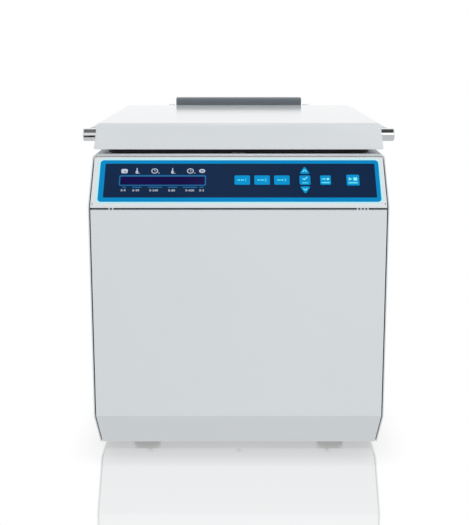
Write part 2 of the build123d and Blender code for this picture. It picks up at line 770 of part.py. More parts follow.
def base_tray():
    """Floor with upturned sides that everything below the chamber stands on."""
    x = SIDE_IN_X
    front = LOW_FRONT_Y + PAN_LIP - PAN_LAP
    rear = REAR_IN_Y
    tray = block(-x, x, front, rear, TRAY_Z0, TRAY_Z1 + TRAY_LIP)
    tray -= block(-x + TRAY_T, x - TRAY_T, front - 1, rear - TRAY_T, TRAY_Z1, TRAY_Z1 + TRAY_LIP + 1)
    cuts = [rod_z(x, LIP_SCREW_Y, 0, TRAY_Z1 + 1, SCREW_R + SCREW_CLEAR) for x in LIP_SCREW_X]
    for row in range(TRAY_SLOT_COUNT):
        y = TRAY_SLOT_Y + row * TRAY_SLOT_PITCH
        cuts.append(block(TRAY_SLOT_X0, TRAY_SLOT_X1, y, y + TRAY_SLOT_W, 0, TRAY_Z1 + 1))
    return tray - cuts


def corner_posts():
    """Four angle posts between the tray and the deck."""
    posts = []
    out_x = SIDE_IN_X - TRAY_T
    for side in (-1, 1):
        for y0, y1, web in (
            (POST_FRONT_Y, POST_FRONT_Y + POST_LEG, POST_FRONT_Y),
            (REAR_IN_Y - POST_LEG, REAR_IN_Y, REAR_IN_Y - POST_T),
        ):
            z0 = TRAY_Z1 + (TRAY_LIP if y1 == REAR_IN_Y else 0)
            flat_x = sorted((side * out_x, side * (out_x - POST_T)))
            wide_x = sorted((side * out_x, side * (out_x - POST_LEG)))
            post = block(*flat_x, y0, y1, z0, DECK_Z0)
            post += block(*wide_x, web, web + POST_T, z0, DECK_Z0)
            posts.append(post)
    holes = [rod_x(y, z, -BODY_HALF, BODY_HALF, SCREW_R + SCREW_CLEAR) for y, z in SIDE_SCREWS]
    holes += [rod_y(x, z, REAR_IN_Y - 9, REAR_Y, SCREW_R + SCREW_CLEAR) for x, z in REAR_SCREWS]
    return [post - holes for post in posts]


def top_deck():
    """Deck under the lid, open at the bowl and at the lock striker."""
    x = SIDE_IN_X - 0.2
    front = CREST_Y + SEAM / 2
    deck = block(-x, x, front, REAR_IN_Y, DECK_Z0, DECK_Z)
    deck += block(-x, x, front, front + DECK_T, DECK_Z - PAN_DEPTH, DECK_Z)
    slot_x = STRIKER_HALF + 1.5
    cuts = [
        rod_z(0, 0, DECK_Z0 - 1, DECK_Z + 1, BOWL_R + BOWL_T + FIT),
        block(-slot_x, slot_x, STRIKER_Y0 - 7.5, STRIKER_Y1 + 1.5, DECK_Z0 - 1, DECK_Z + 1),
    ]
    return deck - cuts


def rear_panel():
    """Back of the cabinet, open at the fan, the power entry and the vacuum port."""
    x = SIDE_IN_X - 0.2
    panel = block(-x, x, REAR_IN_Y, REAR_Y, TRAY_Z0, DECK_Z)
    near = REAR_IN_Y - 1
    far = REAR_Y + 1
    cuts = [
        rod_y(FAN_X, FAN_Z, near, far, FAN_BORE_R),
        rod_y(PORT_X, PORT_Z, near, far, PORT_R + FIT),
        block(
            ENTRY_X - ENTRY_W / 2 - FIT, ENTRY_X + ENTRY_W / 2 + FIT, near, far,
            ENTRY_Z - ENTRY_H / 2 - FIT, ENTRY_Z + ENTRY_H / 2 + FIT,
        ),
    ]
    for row in range(LOUVRE_COUNT):
        z = REAR_LOUVRE_Z + row * LOUVRE_PITCH
        for x_mid in REAR_LOUVRE_X:
            cuts.append(block(x_mid - LOUVRE_W / 2, x_mid + LOUVRE_W / 2, near, far, z, z + LOUVRE_H))
    for x_screw, z in REAR_SCREWS:
        cuts.append(rod_y(x_screw, z, near, far, SCREW_R + SCREW_CLEAR))
    return panel - cuts


def feet():
    """Four rubber feet on the tray."""
    profile = [
        (5.0, 0), (FOOT_R - 3, 0), (FOOT_R - 2, 1.5), (FOOT_R, TRAY_Z0 - 2),
        (FOOT_R, TRAY_Z0), (0, TRAY_Z0), (0, 5.0), (5.0, 5.0),
    ]
    places = [(side * FOOT_X, y) for side in (-1, 1) for y in (FOOT_FRONT_Y, FOOT_REAR_Y)]
    return [turned(profile, x, y) for x, y in places]


def chassis_screws():
    """Screws of the side panels, rear panel, front lip and control board."""
    screws = []
    for y, z in SIDE_SCREWS:
        screws.append(screw((BODY_HALF, y, z), (-1, 0, 0)))
        screws.append(screw((-BODY_HALF, y, z), (1, 0, 0)))
    screws += [screw((x, REAR_Y, z), (0, -1, 0)) for x, z in REAR_SCREWS]
    screws += [screw((x, LIP_SCREW_Y, UNDER_Z), (0, 0, 1)) for x in LIP_SCREW_X]
    return screws


def chamber_bowl():
    """Stainless bowl hung from its rim flange."""
    outside = rod_z(0, 0, BOWL_FLOOR_Z - BOWL_T, BOWL_TOP_Z, BOWL_R + BOWL_T)
    inside = rod_z(0, 0, BOWL_FLOOR_Z, BOWL_TOP_Z + 1, BOWL_R)
    low = outside.edges().group_by(Axis.Z)[0]
    outside = fillet(low, BOWL_KNUCKLE_R + BOWL_T)
    inside = fillet(inside.edges().group_by(Axis.Z)[0], BOWL_KNUCKLE_R)
    flange = rod_z(0, 0, DECK_Z, BOWL_TOP_Z, BOWL_FLANGE_R)
    wall_y = math.sqrt(BOWL_R ** 2 - PORT_X ** 2)
    cuts = [
        rod_z(0, 0, BOWL_FLOOR_Z - 5, BOWL_FLOOR_Z + 5, SEAL_R + 0.1),
        rod_y(PORT_X, PORT_Z, wall_y - 12, wall_y + 12, PORT_R + 0.2),
    ]
    return (outside + flange) - inside - cuts


def chamber_gasket():
    """Rubber ring on the bowl's rim that the lid plate closes on."""
    low = BOWL_TOP_Z
    return turned([
        (GASKET_R0, low), (GASKET_R1, low), (GASKET_R1, low + 3.0),
        (GASKET_R1 - 2.5, GASKET_TOP_Z), (GASKET_R0 + 2.5, GASKET_TOP_Z), (GASKET_R0, low + 3.0),
    ])


def coil_radius():
    """Radius of the cooling coil's centreline round the bowl."""
    return BOWL_R + BOWL_T + COIL_GAP + COIL_TUBE_R


def cooling_coil():
    """Copper tube wound round the bowl."""
    return Pos(0, 0, COIL_Z0) * coil(coil_radius(), COIL_PITCH, COIL_TURNS, COIL_TUBE_R)


def bowl_insulation():
    """Foam jacket round the bowl and its coil: a base disc and a ring of staves."""
    top = DECK_Z0 - JACKET_TOP_GAP
    coil_top = COIL_Z0 + COIL_TURNS * COIL_PITCH + COIL_TUBE_R + 1
    wall_y = math.sqrt(BOWL_R ** 2 - PORT_X ** 2)
    base = rod_z(0, 0, JACKET_Z0, JACKET_Z1, JACKET_R)
    base -= rod_z(0, 0, JACKET_Z0 - 1, JACKET_Z1 + 1, SEAL_R + 4)
    ring = rod_z(0, 0, JACKET_Z1, top, JACKET_R) - [
        rod_z(0, 0, JACKET_Z1 - 1, top + 1, BOWL_R + BOWL_T + FIT),
        rod_z(0, 0, COIL_Z0 - COIL_TUBE_R - 1, coil_top, coil_radius() + COIL_TUBE_R + COIL_GAP),
        rod_y(PORT_X, PORT_Z, wall_y, JACKET_R + 5, PORT_R + FIT),
    ]
    step = 360 / JACKET_STAVES
    reach = 2 * JACKET_R
    half = math.radians(step / 2)
    wedge = make_face(Polyline(
        (0, 0), (reach * math.cos(half), -reach * math.sin(half)), (reach * math.cos(half), reach * math.sin(half)),
        close=True,
    ))
    wedge = Pos(0, 0, JACKET_Z0 - 1) * extrude(wedge, amount=top - JACKET_Z0 + 2, dir=(0, 0, 1))
    staves = [ring & (Rot(0, 0, number * step) * wedge) for number in range(JACKET_STAVES)]
    return [base] + staves


def drive_motor():
    """Ribbed motor below the bowl, with the bearing bore for the drive shaft."""
    motor = rod_z(0, 0, MOTOR_Z0, MOTOR_Z1, MOTOR_R)
    motor = fillet(motor.edges(), 4)
    motor += rod_z(0, 0, MOTOR_Z1 - 1, MOTOR_Z1 + 6, 24)
    cuts = [rod_z(0, 0, MOTOR_Z0 + 6, MOTOR_Z1 + 8, SHAFT_R + SHAFT_RUN)]
    for number in range(MOTOR_FIN_COUNT):
        groove = block(MOTOR_R - 4, MOTOR_R + 2, -2, 2, MOTOR_Z0 + 22, MOTOR_Z1 - 22)
        cuts.append(Rot(0, 0, number * 360 / MOTOR_FIN_COUNT) * groove)
    return motor - cuts


def motor_bracket():
    """Plate on four posts that carries the motor."""
    half = BRACKET_W / 2
    plate = block(-half, half, -half, half, MOTOR_Z0 - BRACKET_T, MOTOR_Z0)
    for x in (-BRACKET_POST_XY, BRACKET_POST_XY):
        for y in (-BRACKET_POST_XY, BRACKET_POST_XY):
            plate += rod_z(x, y, TRAY_Z1, MOTOR_Z0 - BRACKET_T, BRACKET_POST_R)
    return plate


def shaft_seal():
    """Seal housing in the bowl's floor, with a running bore for the shaft."""
    bore = SHAFT_R + SHAFT_RUN
    floor = BOWL_FLOOR_Z
    rim = SEAL_R + SEAL_RIM
    return turned([
        (bore, floor - SEAL_DEPTH), (SEAL_NECK_R, floor - SEAL_DEPTH), (SEAL_R, floor - SEAL_STEP),
        (SEAL_R, floor), (rim, floor), (rim, floor + SEAL_RIM_T), (SEAL_LIP_R, floor + SEAL_UP),
        (bore, floor + SEAL_UP),
    ])


def compressor():
    """Domed refrigeration compressor on its foot plate."""
    dome = 26.0
    low = COMP_Z0
    high = COMP_Z0 + COMP_H
    body = rod_z(COMP_X, COMP_Y, low, high, COMP_R)
    body = fillet(body.edges(), dome)
    body += rod_z(COMP_X, COMP_Y, (low + high) / 2 - 2, (low + high) / 2 + 2, COMP_R + 2)
    half = COMP_FOOT / 2
    foot = block(COMP_X - half, COMP_X + half, COMP_Y - half, COMP_Y + half, low - 4, low)
    foot = fillet(foot.edges().filter_by(Axis.Z), 12)
    body += foot
    body += rod_z(COMP_X, COMP_Y, low - 1, low + 2, COMP_R - dome)
    body += block(
        COMP_X + COMP_R - COMP_BOX_IN, COMP_X + COMP_R + COMP_BOX_OUT,
        COMP_Y - COMP_BOX_HALF, COMP_Y + COMP_BOX_HALF, low + COMP_BOX_LOW, low + COMP_BOX_HIGH,
    )
    return body - [rod_z(x, y, low - 5, low + 1, MOUNT_R - 3) for x, y in mount_places()]


def mount_places():
    """Centres of the compressor's four rubber mounts."""
    reach = COMP_FOOT / 2 - 11
    return [(COMP_X + a * reach, COMP_Y + b * reach) for a in (-1, 1) for b in (-1, 1)]


def compressor_mounts():
    """Rubber bushes between the compressor's foot and the tray."""
    mounts = []
    foot = COMP_Z0 - 4
    for x, y in mount_places():
        neck = MOUNT_R - 3
        mounts.append(turned([
            (0, TRAY_Z1), (MOUNT_R, TRAY_Z1), (MOUNT_R, foot - 4), (MOUNT_R - 1.5, foot),
            (neck, foot), (neck, COMP_Z0), (0, COMP_Z0),
        ], x, y))
    return mounts


def condenser():
    """Finned block with its tube rows."""
    step = (COND_X1 - COND_X0 - COND_FIN_T) / (COND_FINS - 1)
    y = (COND_Y0 + COND_Y1) / 2
    rise = (COND_Z1 - COND_Z0) / COND_ROWS
    solids = []
    for number in range(COND_FINS):
        x = COND_X0 + number * step
        solids.append(block(x, x + COND_FIN_T, COND_Y0, COND_Y1, COND_Z0, COND_Z1))
    for row in range(COND_ROWS):
        z = COND_Z0 + (row + 0.5) * rise
        for y_tube in (y - 11, y + 11):
            solids.append(rod_x(y_tube, z, COND_X0 - 6, COND_X1 + 6, COND_TUBE_R))
    for x0, x1 in ((COND_X0 - 8, COND_X0 - 6), (COND_X1 + 6, COND_X1 + 8)):
        solids.append(block(x0, x1, COND_Y0, COND_Y1, TRAY_Z1, COND_Z1))
    return solids[0].fuse(*solids[1:])


def fan_housing():
    """Square fan frame with a round duct and three struts to the hub's seat."""
    half = FAN_FRAME / 2
    y0 = REAR_IN_Y - FAN_DEPTH
    frame = block(FAN_X - half, FAN_X + half, y0, REAR_IN_Y, FAN_Z - half, FAN_Z + half)
    frame = fillet(frame.edges().filter_by(Axis.Y), 8)
    frame -= rod_y(FAN_X, FAN_Z, y0 - 1, REAR_IN_Y + 1, FAN_BORE_R)
    for turn in (90, 210, 330):
        strut = Pos(0, 0, (FAN_HUB_R + FAN_BORE_R) / 2) * Box(FAN_STRUT_W, FAN_STRUT_T, FAN_BORE_R - FAN_HUB_R + 8)
        frame += Pos(FAN_X, y0 + FAN_STRUT_T / 2, FAN_Z) * Rot(0, turn, 0) * strut
    frame += rod_y(FAN_X, FAN_Z, y0, y0 + FAN_STRUT_T, FAN_HUB_R)
    frame += rod_y(FAN_X, FAN_Z, y0, y0 + FAN_PIN_LEN, FAN_PIN_R)
    return frame


def fan_rotor():
    """Fan hub with pitched blades, running on the frame's pin."""
    y0 = REAR_IN_Y - FAN_DEPTH
    hub = rod_y(FAN_X, FAN_Z, y0 + FAN_HUB_Y0, y0 + FAN_HUB_Y0 + FAN_HUB_LEN, FAN_HUB_R)
    hub = fillet(hub.edges().group_by(Axis.Y)[-1], 4)
    reach = FAN_TIP_R - FAN_HUB_R + 6
    for number in range(FAN_BLADES):
        blade = Pos(0, 0, FAN_HUB_R - 6 + reach / 2) * Rot(0, 0, 38) * Box(FAN_BLADE_W, FAN_BLADE_T, reach)
        hub += Pos(FAN_X, y0 + FAN_HUB_Y0 + FAN_HUB_LEN / 2 + 1, FAN_Z) * Rot(0, number * 360 / FAN_BLADES, 0) * blade
    hub &= rod_y(FAN_X, FAN_Z, y0, REAR_IN_Y, FAN_TIP_R)
    return hub - rod_y(FAN_X, FAN_Z, y0 - 1, y0 + FAN_PIN_LEN + 0.5, FAN_PIN_R + SHAFT_RUN)


def fan_guard():
    """Wire guard outside the rear panel."""
    solids = []
    for ring in range(1, GUARD_RINGS + 1):
        loop = Torus(ring * GUARD_PITCH + 4, GUARD_WIRE_R)
        solids.append(Pos(FAN_X, REAR_Y + GUARD_BAR_T + 0.4, FAN_Z) * Rot(90, 0, 0) * loop)
    reach = FAN_BORE_R + 9
    for turn in (45, 135, 225, 315):
        spoke = Pos(0, 0, (reach + 12) / 2) * Box(GUARD_BAR_W, GUARD_BAR_T, reach - 12)
        solids.append(Pos(FAN_X, REAR_Y + GUARD_BAR_T / 2, FAN_Z) * Rot(0, turn, 0) * spoke)
    return solids[0].fuse(*solids[1:])


def power_entry():
    """Mains inlet and the seat of the rocker switch, in one rear module."""
    y0 = REAR_Y - ENTRY_DEPTH
    y1 = REAR_Y + ENTRY_FLANGE_T
    half_w = ENTRY_W / 2
    half_h = ENTRY_H / 2
    body = block(ENTRY_X - half_w, ENTRY_X + half_w, y0, y1, ENTRY_Z - half_h, ENTRY_Z + half_h)
    flange = block(
        ENTRY_X - half_w - 6, ENTRY_X + half_w + 6, REAR_Y, y1, ENTRY_Z - half_h - 4, ENTRY_Z + half_h + 4,
    )
    body += fillet(flange.edges().filter_by(Axis.Y), 4)
    x_in = inlet_x()
    x_sw = rocker_x()
    pocket_w = ROCKER_W / 2 + ROCKER_CLEAR
    pocket_h = ROCKER_H / 2 + 4 * ROCKER_CLEAR
    body -= [
        block(
            x_in - INLET_W / 2, x_in + INLET_W / 2, y1 - INLET_DEPTH, y1 + 1,
            ENTRY_Z - INLET_H / 2, ENTRY_Z + INLET_H / 2,
        ),
        block(
            x_sw - pocket_w, x_sw + pocket_w, REAR_Y - ROCKER_BACK - 6, y1 + 1,
            ENTRY_Z - pocket_h, ENTRY_Z + pocket_h,
        ),
        rod_x(REAR_Y, ENTRY_Z, x_sw - pocket_w - 2.5, x_sw + pocket_w + 2.5, ROCKER_PIN_R + SHAFT_RUN),
    ]
    for x, z in ((-7.0, -2.0), (7.0, -2.0), (0.0, 3.0)):
        body += block(
            x_in + x - 1, x_in + x + 1, y1 - INLET_DEPTH, y1 - 6, ENTRY_Z + z - 2, ENTRY_Z + z + 2,
        )
    return body


def inlet_x():
    """Middle of the mains inlet."""
    return ENTRY_X - ENTRY_W / 4


def rocker_x():
    """Middle of the rocker switch."""
    return ENTRY_X + ENTRY_W / 4


def switch_rocker():
    """Rocker in its off position, with its pivot pin."""
    half = ROCKER_H / 2
    x = rocker_x()
    back = -ROCKER_BACK
    front = ROCKER_PROUD
    shape = prism_x([
        (back, -half + 2), (front, -half), (front - 2, 0), (front, half), (back, half - 2),
    ], -ROCKER_W / 2, ROCKER_W / 2)
    pin = ROCKER_W / 2 + ROCKER_CLEAR + 2
    shape += rod_x(0, 0, -pin, pin, ROCKER_PIN_R)
    return Pos(x, REAR_Y, ENTRY_Z) * Rot(-ROCKER_TILT, 0, 0) * shape


def vacuum_port():
    """Suction pipe from the bowl to the rear, with its flange on the rear panel."""
    start = math.sqrt(BOWL_R ** 2 - PORT_X ** 2)
    pipe = rod_y(PORT_X, PORT_Z, start, PORT_END_Y, PORT_R)
    flange = rod_y(PORT_X, PORT_Z, REAR_Y, REAR_Y + PORT_FLANGE_T, PORT_FLANGE_R)
    pipe += fillet(flange.edges().group_by(Axis.Y)[-1], 1)
    return pipe - rod_y(PORT_X, PORT_Z, start - 1, PORT_END_Y + 1, PORT_BORE_R)


def refrigerant_pipes():
    """Copper lines between compressor, condenser and cooling coil."""
    top = COMP_Z0 + COMP_H
    high = JACKET_Z0 - PIPE_RISE
    fit_x = COND_X1 - PIPE_INSET
    fit_y = (COND_Y0 + COND_Y1) / 2
    hot = tube_path([
        (COMP_X - PIPE_SPREAD, COMP_Y, top), (COMP_X - PIPE_SPREAD, COMP_Y, high),
        (fit_x, COMP_Y, high), (fit_x, fit_y, high), (fit_x, fit_y, COND_Z1 + FIT),
    ], PIPE_BEND_R, PIPE_R)
    cold = tube_path([
        (COMP_X + PIPE_SPREAD, COMP_Y, top), (COMP_X + PIPE_SPREAD, COMP_Y, high),
        (COMP_X + PIPE_SPREAD, PIPE_END_Y, high), (COMP_X + PIPE_SPREAD, PIPE_END_Y, JACKET_Z0 - FIT),
    ], PIPE_BEND_R, PIPE_R)
    return [hot, cold]


def power_supply():
    """Enclosed power supply on the tray."""
    case = block(SUPPLY_X0, SUPPLY_X1, SUPPLY_Y0, SUPPLY_Y1, TRAY_Z1, TRAY_Z1 + SUPPLY_H)
    case = fillet(case.edges().group_by(Axis.Z)[-1], 2)
    middle = (SUPPLY_X0 + SUPPLY_X1) / 2
    top = TRAY_Z1 + SUPPLY_H
    cuts = []
    for row in range(10):
        y = SUPPLY_Y0 + 24 + row * 12
        cuts.append(block(middle - 24, middle + 24, y, y + 5, top - 3, top + 1))
    return case - cuts


def hinge_housing():
    """Cover over the hinge, open below and slotted at its ends for the shaft."""
    outside = block(-COVER_HALF, COVER_HALF, COVER_FRONT_Y, COVER_REAR_Y, DECK_Z, COVER_TOP_Z)
    along = outside.edges().filter_by(Axis.X).group_by(Axis.Z)[-1].sort_by(Axis.Y)
    outside = fillet(along[0], COVER_FRONT_R)
    rear = outside.edges().filter_by(Axis.X).group_by(Axis.Z)[-1].sort_by(Axis.Y)
    outside = fillet(rear[-1], COVER_REAR_R)
    t = COVER_T
    inside = block(
        -COVER_HALF + t, COVER_HALF - t, COVER_FRONT_Y + t, COVER_REAR_Y - t, DECK_Z - 1, COVER_TOP_Z - t,
    )
    slot = HINGE_SHAFT_R + 1.5
    slots = block(-COVER_HALF - 1, COVER_HALF + 1, HINGE_Y - slot, HINGE_Y + slot, DECK_Z - 1, HINGE_Z)
    bore = rod_x(HINGE_Y, HINGE_Z, -COVER_HALF - 1, COVER_HALF + 1, slot)
    return outside - inside - [slots, bore]


def hinge_blocks():
    """Two bearing blocks on the deck."""
    blocks = []
    for side in (-1, 1):
        x0, x1 = sorted((side * BLOCK_X0, side * BLOCK_X1))
        shape = block(x0, x1, HINGE_Y - BLOCK_R, HINGE_Y + BLOCK_R, DECK_Z, HINGE_Z)
        shape += rod_x(HINGE_Y, HINGE_Z, x0, x1, BLOCK_R)
        blocks.append(shape - rod_x(HINGE_Y, HINGE_Z, x0 - 1, x1 + 1, BUSH_R))
    return blocks


def hinge_bushes():
    """Bushes pressed in the bearing blocks."""
    bushes = []
    for side in (-1, 1):
        x0, x1 = sorted((side * BLOCK_X0, side * BLOCK_X1))
        bush = rod_x(HINGE_Y, HINGE_Z, x0, x1, BUSH_R)
        bushes.append(bush - rod_x(HINGE_Y, HINGE_Z, x0 - 1, x1 + 1, HINGE_SHAFT_R + BUSH_RUN))
    return bushes


def hinge_springs():
    """Pair of torsion springs round the hinge shaft, each with a leg on the deck."""
    springs = []
    length = SPRING_TURNS * SPRING_PITCH
    for side in (-1, 1):
        x0 = SPRING_X0 if side > 0 else -SPRING_X0 - length
        wire = Rot(0, 90, 0) * coil(SPRING_R, SPRING_PITCH, SPRING_TURNS, SPRING_WIRE_R)
        springs.append(Pos(x0, HINGE_Y, HINGE_Z) * wire)
        springs.append(rod_z(x0, HINGE_Y, DECK_Z, HINGE_Z - SPRING_R - SPRING_WIRE_R, SPRING_WIRE_R))
    return springs


def lid_block(inset, z0, z1, corner_r):
    """Drafted block of the lid between two heights, set in from its outside."""
    layers = []
    for z in (z0, z1):
        draw = inset + LID_DRAFT * (z - LID_BASE_Z) / (LID_TOP_Z - LID_BASE_Z)
        depth = LID_REAR_Y - LID_FRONT_Y
        face = fillet(Rectangle(LID_W - 2 * draw, depth - 2 * draw).vertices(), corner_r)
        layers.append(Pos(0, (LID_REAR_Y + LID_FRONT_Y) / 2, z) * face)
    return loft(layers, ruled=True)


def liner_outline(grow, z0, z1):
    """Rounded block on the liner's outline."""
    depth = LINER_REAR_Y - LINER_FRONT_Y
    face = fillet(Rectangle(LINER_W + 2 * grow, depth + 2 * grow).vertices(), LINER_R + grow)
    return Pos(0, (LINER_REAR_Y + LINER_FRONT_Y) / 2, z0) * extrude(face, amount=z1 - z0)


def lid_shell():
    """Painted lid shell with drafted walls and an inward lip at its base."""
    outside = lid_block(0, LID_BASE_Z, LID_TOP_Z, LID_CORNER_R)
    outside = fillet(outside.edges().group_by(Axis.Z)[-1], LID_EDGE_R)
    lip_top = LINER_TOP_Z - LINER_FLANGE_T
    inside = lid_block(LID_WALL, lip_top, LID_TOP_Z - LID_WALL, LID_CORNER_R - LID_WALL)
    cuts = [
        inside,
        liner_outline(FIT, LID_BASE_Z - 1, lip_top + 1),
        rod_x(GRIP_Y, GRIP_Z, -GRIP_HALF, GRIP_HALF, GRIP_R),
    ]
    return outside - cuts


def lid_liner():
    """Black liner that closes the lid's underside round the pressure plate."""
    liner = liner_outline(0, LINER_BASE_Z, LINER_TOP_Z)
    liner += liner_outline(LINER_FLANGE, LINER_TOP_Z - LINER_FLANGE_T, LINER_TOP_Z)
    slot = STRIKER_HALF + FIT
    cuts = [
        rod_z(0, 0, LINER_BASE_Z - 1, LINER_TOP_Z + 1, LINER_BORE_R),
        block(-slot, slot, STRIKER_Y0 - FIT, STRIKER_Y1 + FIT, LINER_BASE_Z - 1, LINER_TOP_Z + 1),
    ]
    return liner - cuts


def lid_plate():
    """Pressure plate that closes on the gasket, hung on the liner by its flange."""
    plate = rod_z(0, 0, PLATE_Z0, PLATE_Z0 + PLATE_T, PLATE_R)
    plate += rod_z(0, 0, LINER_TOP_Z, PLATE_Z0 + PLATE_T, PLATE_FLANGE_R)
    recess = rod_z(0, 0, PLATE_Z0 - 1, PLATE_Z0 + PLATE_RECESS, GASKET_R0 - PLATE_RECESS_IN)
    cuts = [recess]
    for x, y in lid_screw_places():
        cuts.append(rod_z(x, y, PLATE_Z0 - 1, PLATE_Z0 + PLATE_SCREW_DEPTH, SCREW_R + SCREW_CLEAR))
    return plate - cuts


def lid_screw_places():
    """Centres of the screws in the pressure plate."""
    reach = GASKET_R0 - PLATE_SCREW_IN
    turns = [math.radians(30 + 60 * number) for number in range(6)]
    return [(reach * math.cos(turn), reach * math.sin(turn)) for turn in turns]


def lid_screws():
    """Screws in the pressure plate's recess."""
    return [screw((x, y, PLATE_Z0 + PLATE_RECESS), (0, 0, 1)) for x, y in lid_screw_places()]


def lid_side_rails():
    """Rails along both sides of the lid."""
    solid = lid_block(0, LID_BASE_Z, LID_TOP_Z, LID_CORNER_R)
    rails = []
    for side in (-1, 1):
        x0, x1 = sorted((side * (LID_HALF - 8), side * RAIL_X))
        rail = block(x0, x1, RAIL_FRONT_Y, RAIL_REAR_Y, RAIL_Z0, RAIL_Z1)
        outer = rail.faces().sort_by(Axis.X)[0 if side < 0 else -1]
        rail = fillet(outer.edges(), RAIL_EDGE_R)
        rails.append(rail - solid)
    return rails


def grip_bar():
    """Chrome bar through the lid whose ends are the grips."""
    bar = rod_x(GRIP_Y, GRIP_Z, -GRIP_HALF, GRIP_HALF, GRIP_R)
    bar = fillet(bar.edges(), GRIP_END_R)
    for side in (-1, 1):
        x0, x1 = sorted((side * GRIP_COLLAR_X0, side * GRIP_COLLAR_X1))
        bar += rod_x(GRIP_Y, GRIP_Z, x0, x1, GRIP_COLLAR_R)
    return bar


def hinge_arms():
    """Arms from the lid's rear wall to the hinge shaft."""
    arms = []
    lid = lid_block(0, LID_BASE_Z, LID_TOP_Z, LID_CORNER_R)
    for side in (-1, 1):
        x0, x1 = sorted((side * ARM_X0, side * ARM_X1))
        arm = prism_x([
            (LID_REAR_Y - 8, ARM_Z0), (LID_REAR_Y - 8, ARM_Z1),
            (HINGE_Y, HINGE_Z + ARM_EYE_R), (HINGE_Y, HINGE_Z - ARM_EYE_R),
        ], x0, x1)
        arm += rod_x(HINGE_Y, HINGE_Z, x0, x1, ARM_EYE_R)
        arms.append(arm - lid - rod_x(HINGE_Y, HINGE_Z, x0 - 1, x1 + 1, HINGE_SHAFT_R))
    return arms


def hinge_shaft():
    """Shaft that turns with the lid."""
    shaft = rod_x(HINGE_Y, HINGE_Z, -HINGE_SHAFT_HALF, HINGE_SHAFT_HALF, HINGE_SHAFT_R)
    return chamfer(shaft.edges(), 1)


def lock_striker():
    """Striker plate under the lid, with the hole for the lock bolt."""
    plate = block(-STRIKER_HALF, STRIKER_HALF, STRIKER_Y0, STRIKER_Y1, STRIKER_LOW_Z, LINER_TOP_Z + STRIKER_T)
    ear = STRIKER_HALF + STRIKER_EAR
    plate += block(-ear, ear, STRIKER_Y0 - 3, STRIKER_Y1 + 3, LINER_TOP_Z, LINER_TOP_Z + STRIKER_T)
    plate = fillet(plate.edges().filter_by(Axis.Y).group_by(Axis.Z)[0], 4)
    return plate - rod_y(0, BOLT_Z, STRIKER_Y0 - 1, STRIKER_Y1 + 1, BOLT_R + BOLT_CLEAR)


def lock_solenoid():
    """Solenoid under the deck that drives the lock bolt."""
    case = block(-SOLENOID_HALF, SOLENOID_HALF, SOLENOID_Y0, SOLENOID_Y1, SOLENOID_Z0, SOLENOID_Z1)
    ear = SOLENOID_HALF + SOLENOID_EAR
    case += block(-ear, ear, SOLENOID_Y0, SOLENOID_Y1, SOLENOID_Z1 - 0.5, DECK_Z0)
    return case - rod_y(0, BOLT_Z, BOLT_TIP_Y - BOLT_LEN - 1, SOLENOID_Y1 + 1, BOLT_R + SHAFT_RUN)


def lock_bolt():
    """Bolt in its drawn-back position."""
    bolt = rod_y(0, BOLT_Z, BOLT_TIP_Y - BOLT_LEN, BOLT_TIP_Y, BOLT_R)
    return chamfer(bolt.edges().group_by(Axis.Y)[-1], 1)


def drive_shaft():
    """Shaft from the motor to the rotor."""
    shaft = rod_z(0, 0, MOTOR_Z0 + 7, SHAFT_TOP_Z, SHAFT_R)
    return chamfer(shaft.edges().group_by(Axis.Z)[-1], 1)


def around(count, radius, start=0.0):
    """Points evenly spaced on a circle round the rotor axis."""
    turns = [math.radians(start + 360 * number / count) for number in range(count)]
    return [(radius * math.cos(turn), radius * math.sin(turn)) for turn in turns]


def rotor_base():
    """Lower rotor disc with its hub and a pocket under each tube hole."""
    z = ROTOR_BASE_Z
    disc = rod_z(0, 0, z, z + ROTOR_PLATE_T, ROTOR_R)
    disc = chamfer(disc.edges(), 0.6)
    disc += rod_z(0, 0, z - ROTOR_HUB_DOWN, z + ROTOR_HUB_UP, ROTOR_HUB_R)
    cuts = [rod_z(0, 0, z - ROTOR_HUB_DOWN - 1, z + ROTOR_HUB_UP + 1, SHAFT_R)]
    cuts += [rod_z(x, y, z - 1, z + ROTOR_PLATE_T + 1, POCKET_R) for x, y in around(TUBE_COUNT, TUBE_PCD_R)]
    return disc - cuts


def rotor_top_plate():
    """Upper rotor disc with the tube holes."""
    z = ROTOR_TOP_PLATE_Z
    disc = rod_z(0, 0, z, z + ROTOR_PLATE_T, ROTOR_R)
    disc = chamfer(disc.edges(), 0.6)
    disc += rod_z(0, 0, z - TOP_HUB_DOWN, z + ROTOR_PLATE_T + TOP_HUB_UP, TOP_HUB_R)
    cuts = [rod_z(0, 0, z - TOP_HUB_DOWN - 1, z + ROTOR_PLATE_T + TOP_HUB_UP + 1, SHAFT_R)]
    cuts += [rod_z(x, y, z - 1, z + ROTOR_PLATE_T + 1, TUBE_HOLE_R) for x, y in around(TUBE_COUNT, TUBE_PCD_R)]
    return disc - cuts


def rotor_pillars():
    """Pillars between the two rotor discs."""
    z0 = ROTOR_BASE_Z + ROTOR_PLATE_T
    places = around(PILLAR_COUNT, PILLAR_PCD_R, 18)
    return [rod_z(x, y, z0, ROTOR_TOP_PLATE_Z, PILLAR_R) for x, y in places]


def rotor_nut():
    """Fluted nut that holds the rotor on its shaft."""
    z = ROTOR_TOP_PLATE_Z + ROTOR_PLATE_T + TOP_HUB_UP
    nut = rod_z(0, 0, z, z + NUT_H, NUT_R)
    nut = fillet(nut.edges().group_by(Axis.Z)[-1], 3)
    cuts = [rod_z(0, 0, z - 1, SHAFT_TOP_Z, SHAFT_R)]
    cuts += [rod_z(x, y, z - 1, z + NUT_H + 1, 2) for x, y in around(NUT_FLUTES, NUT_R + 0.6)]
    return nut - cuts


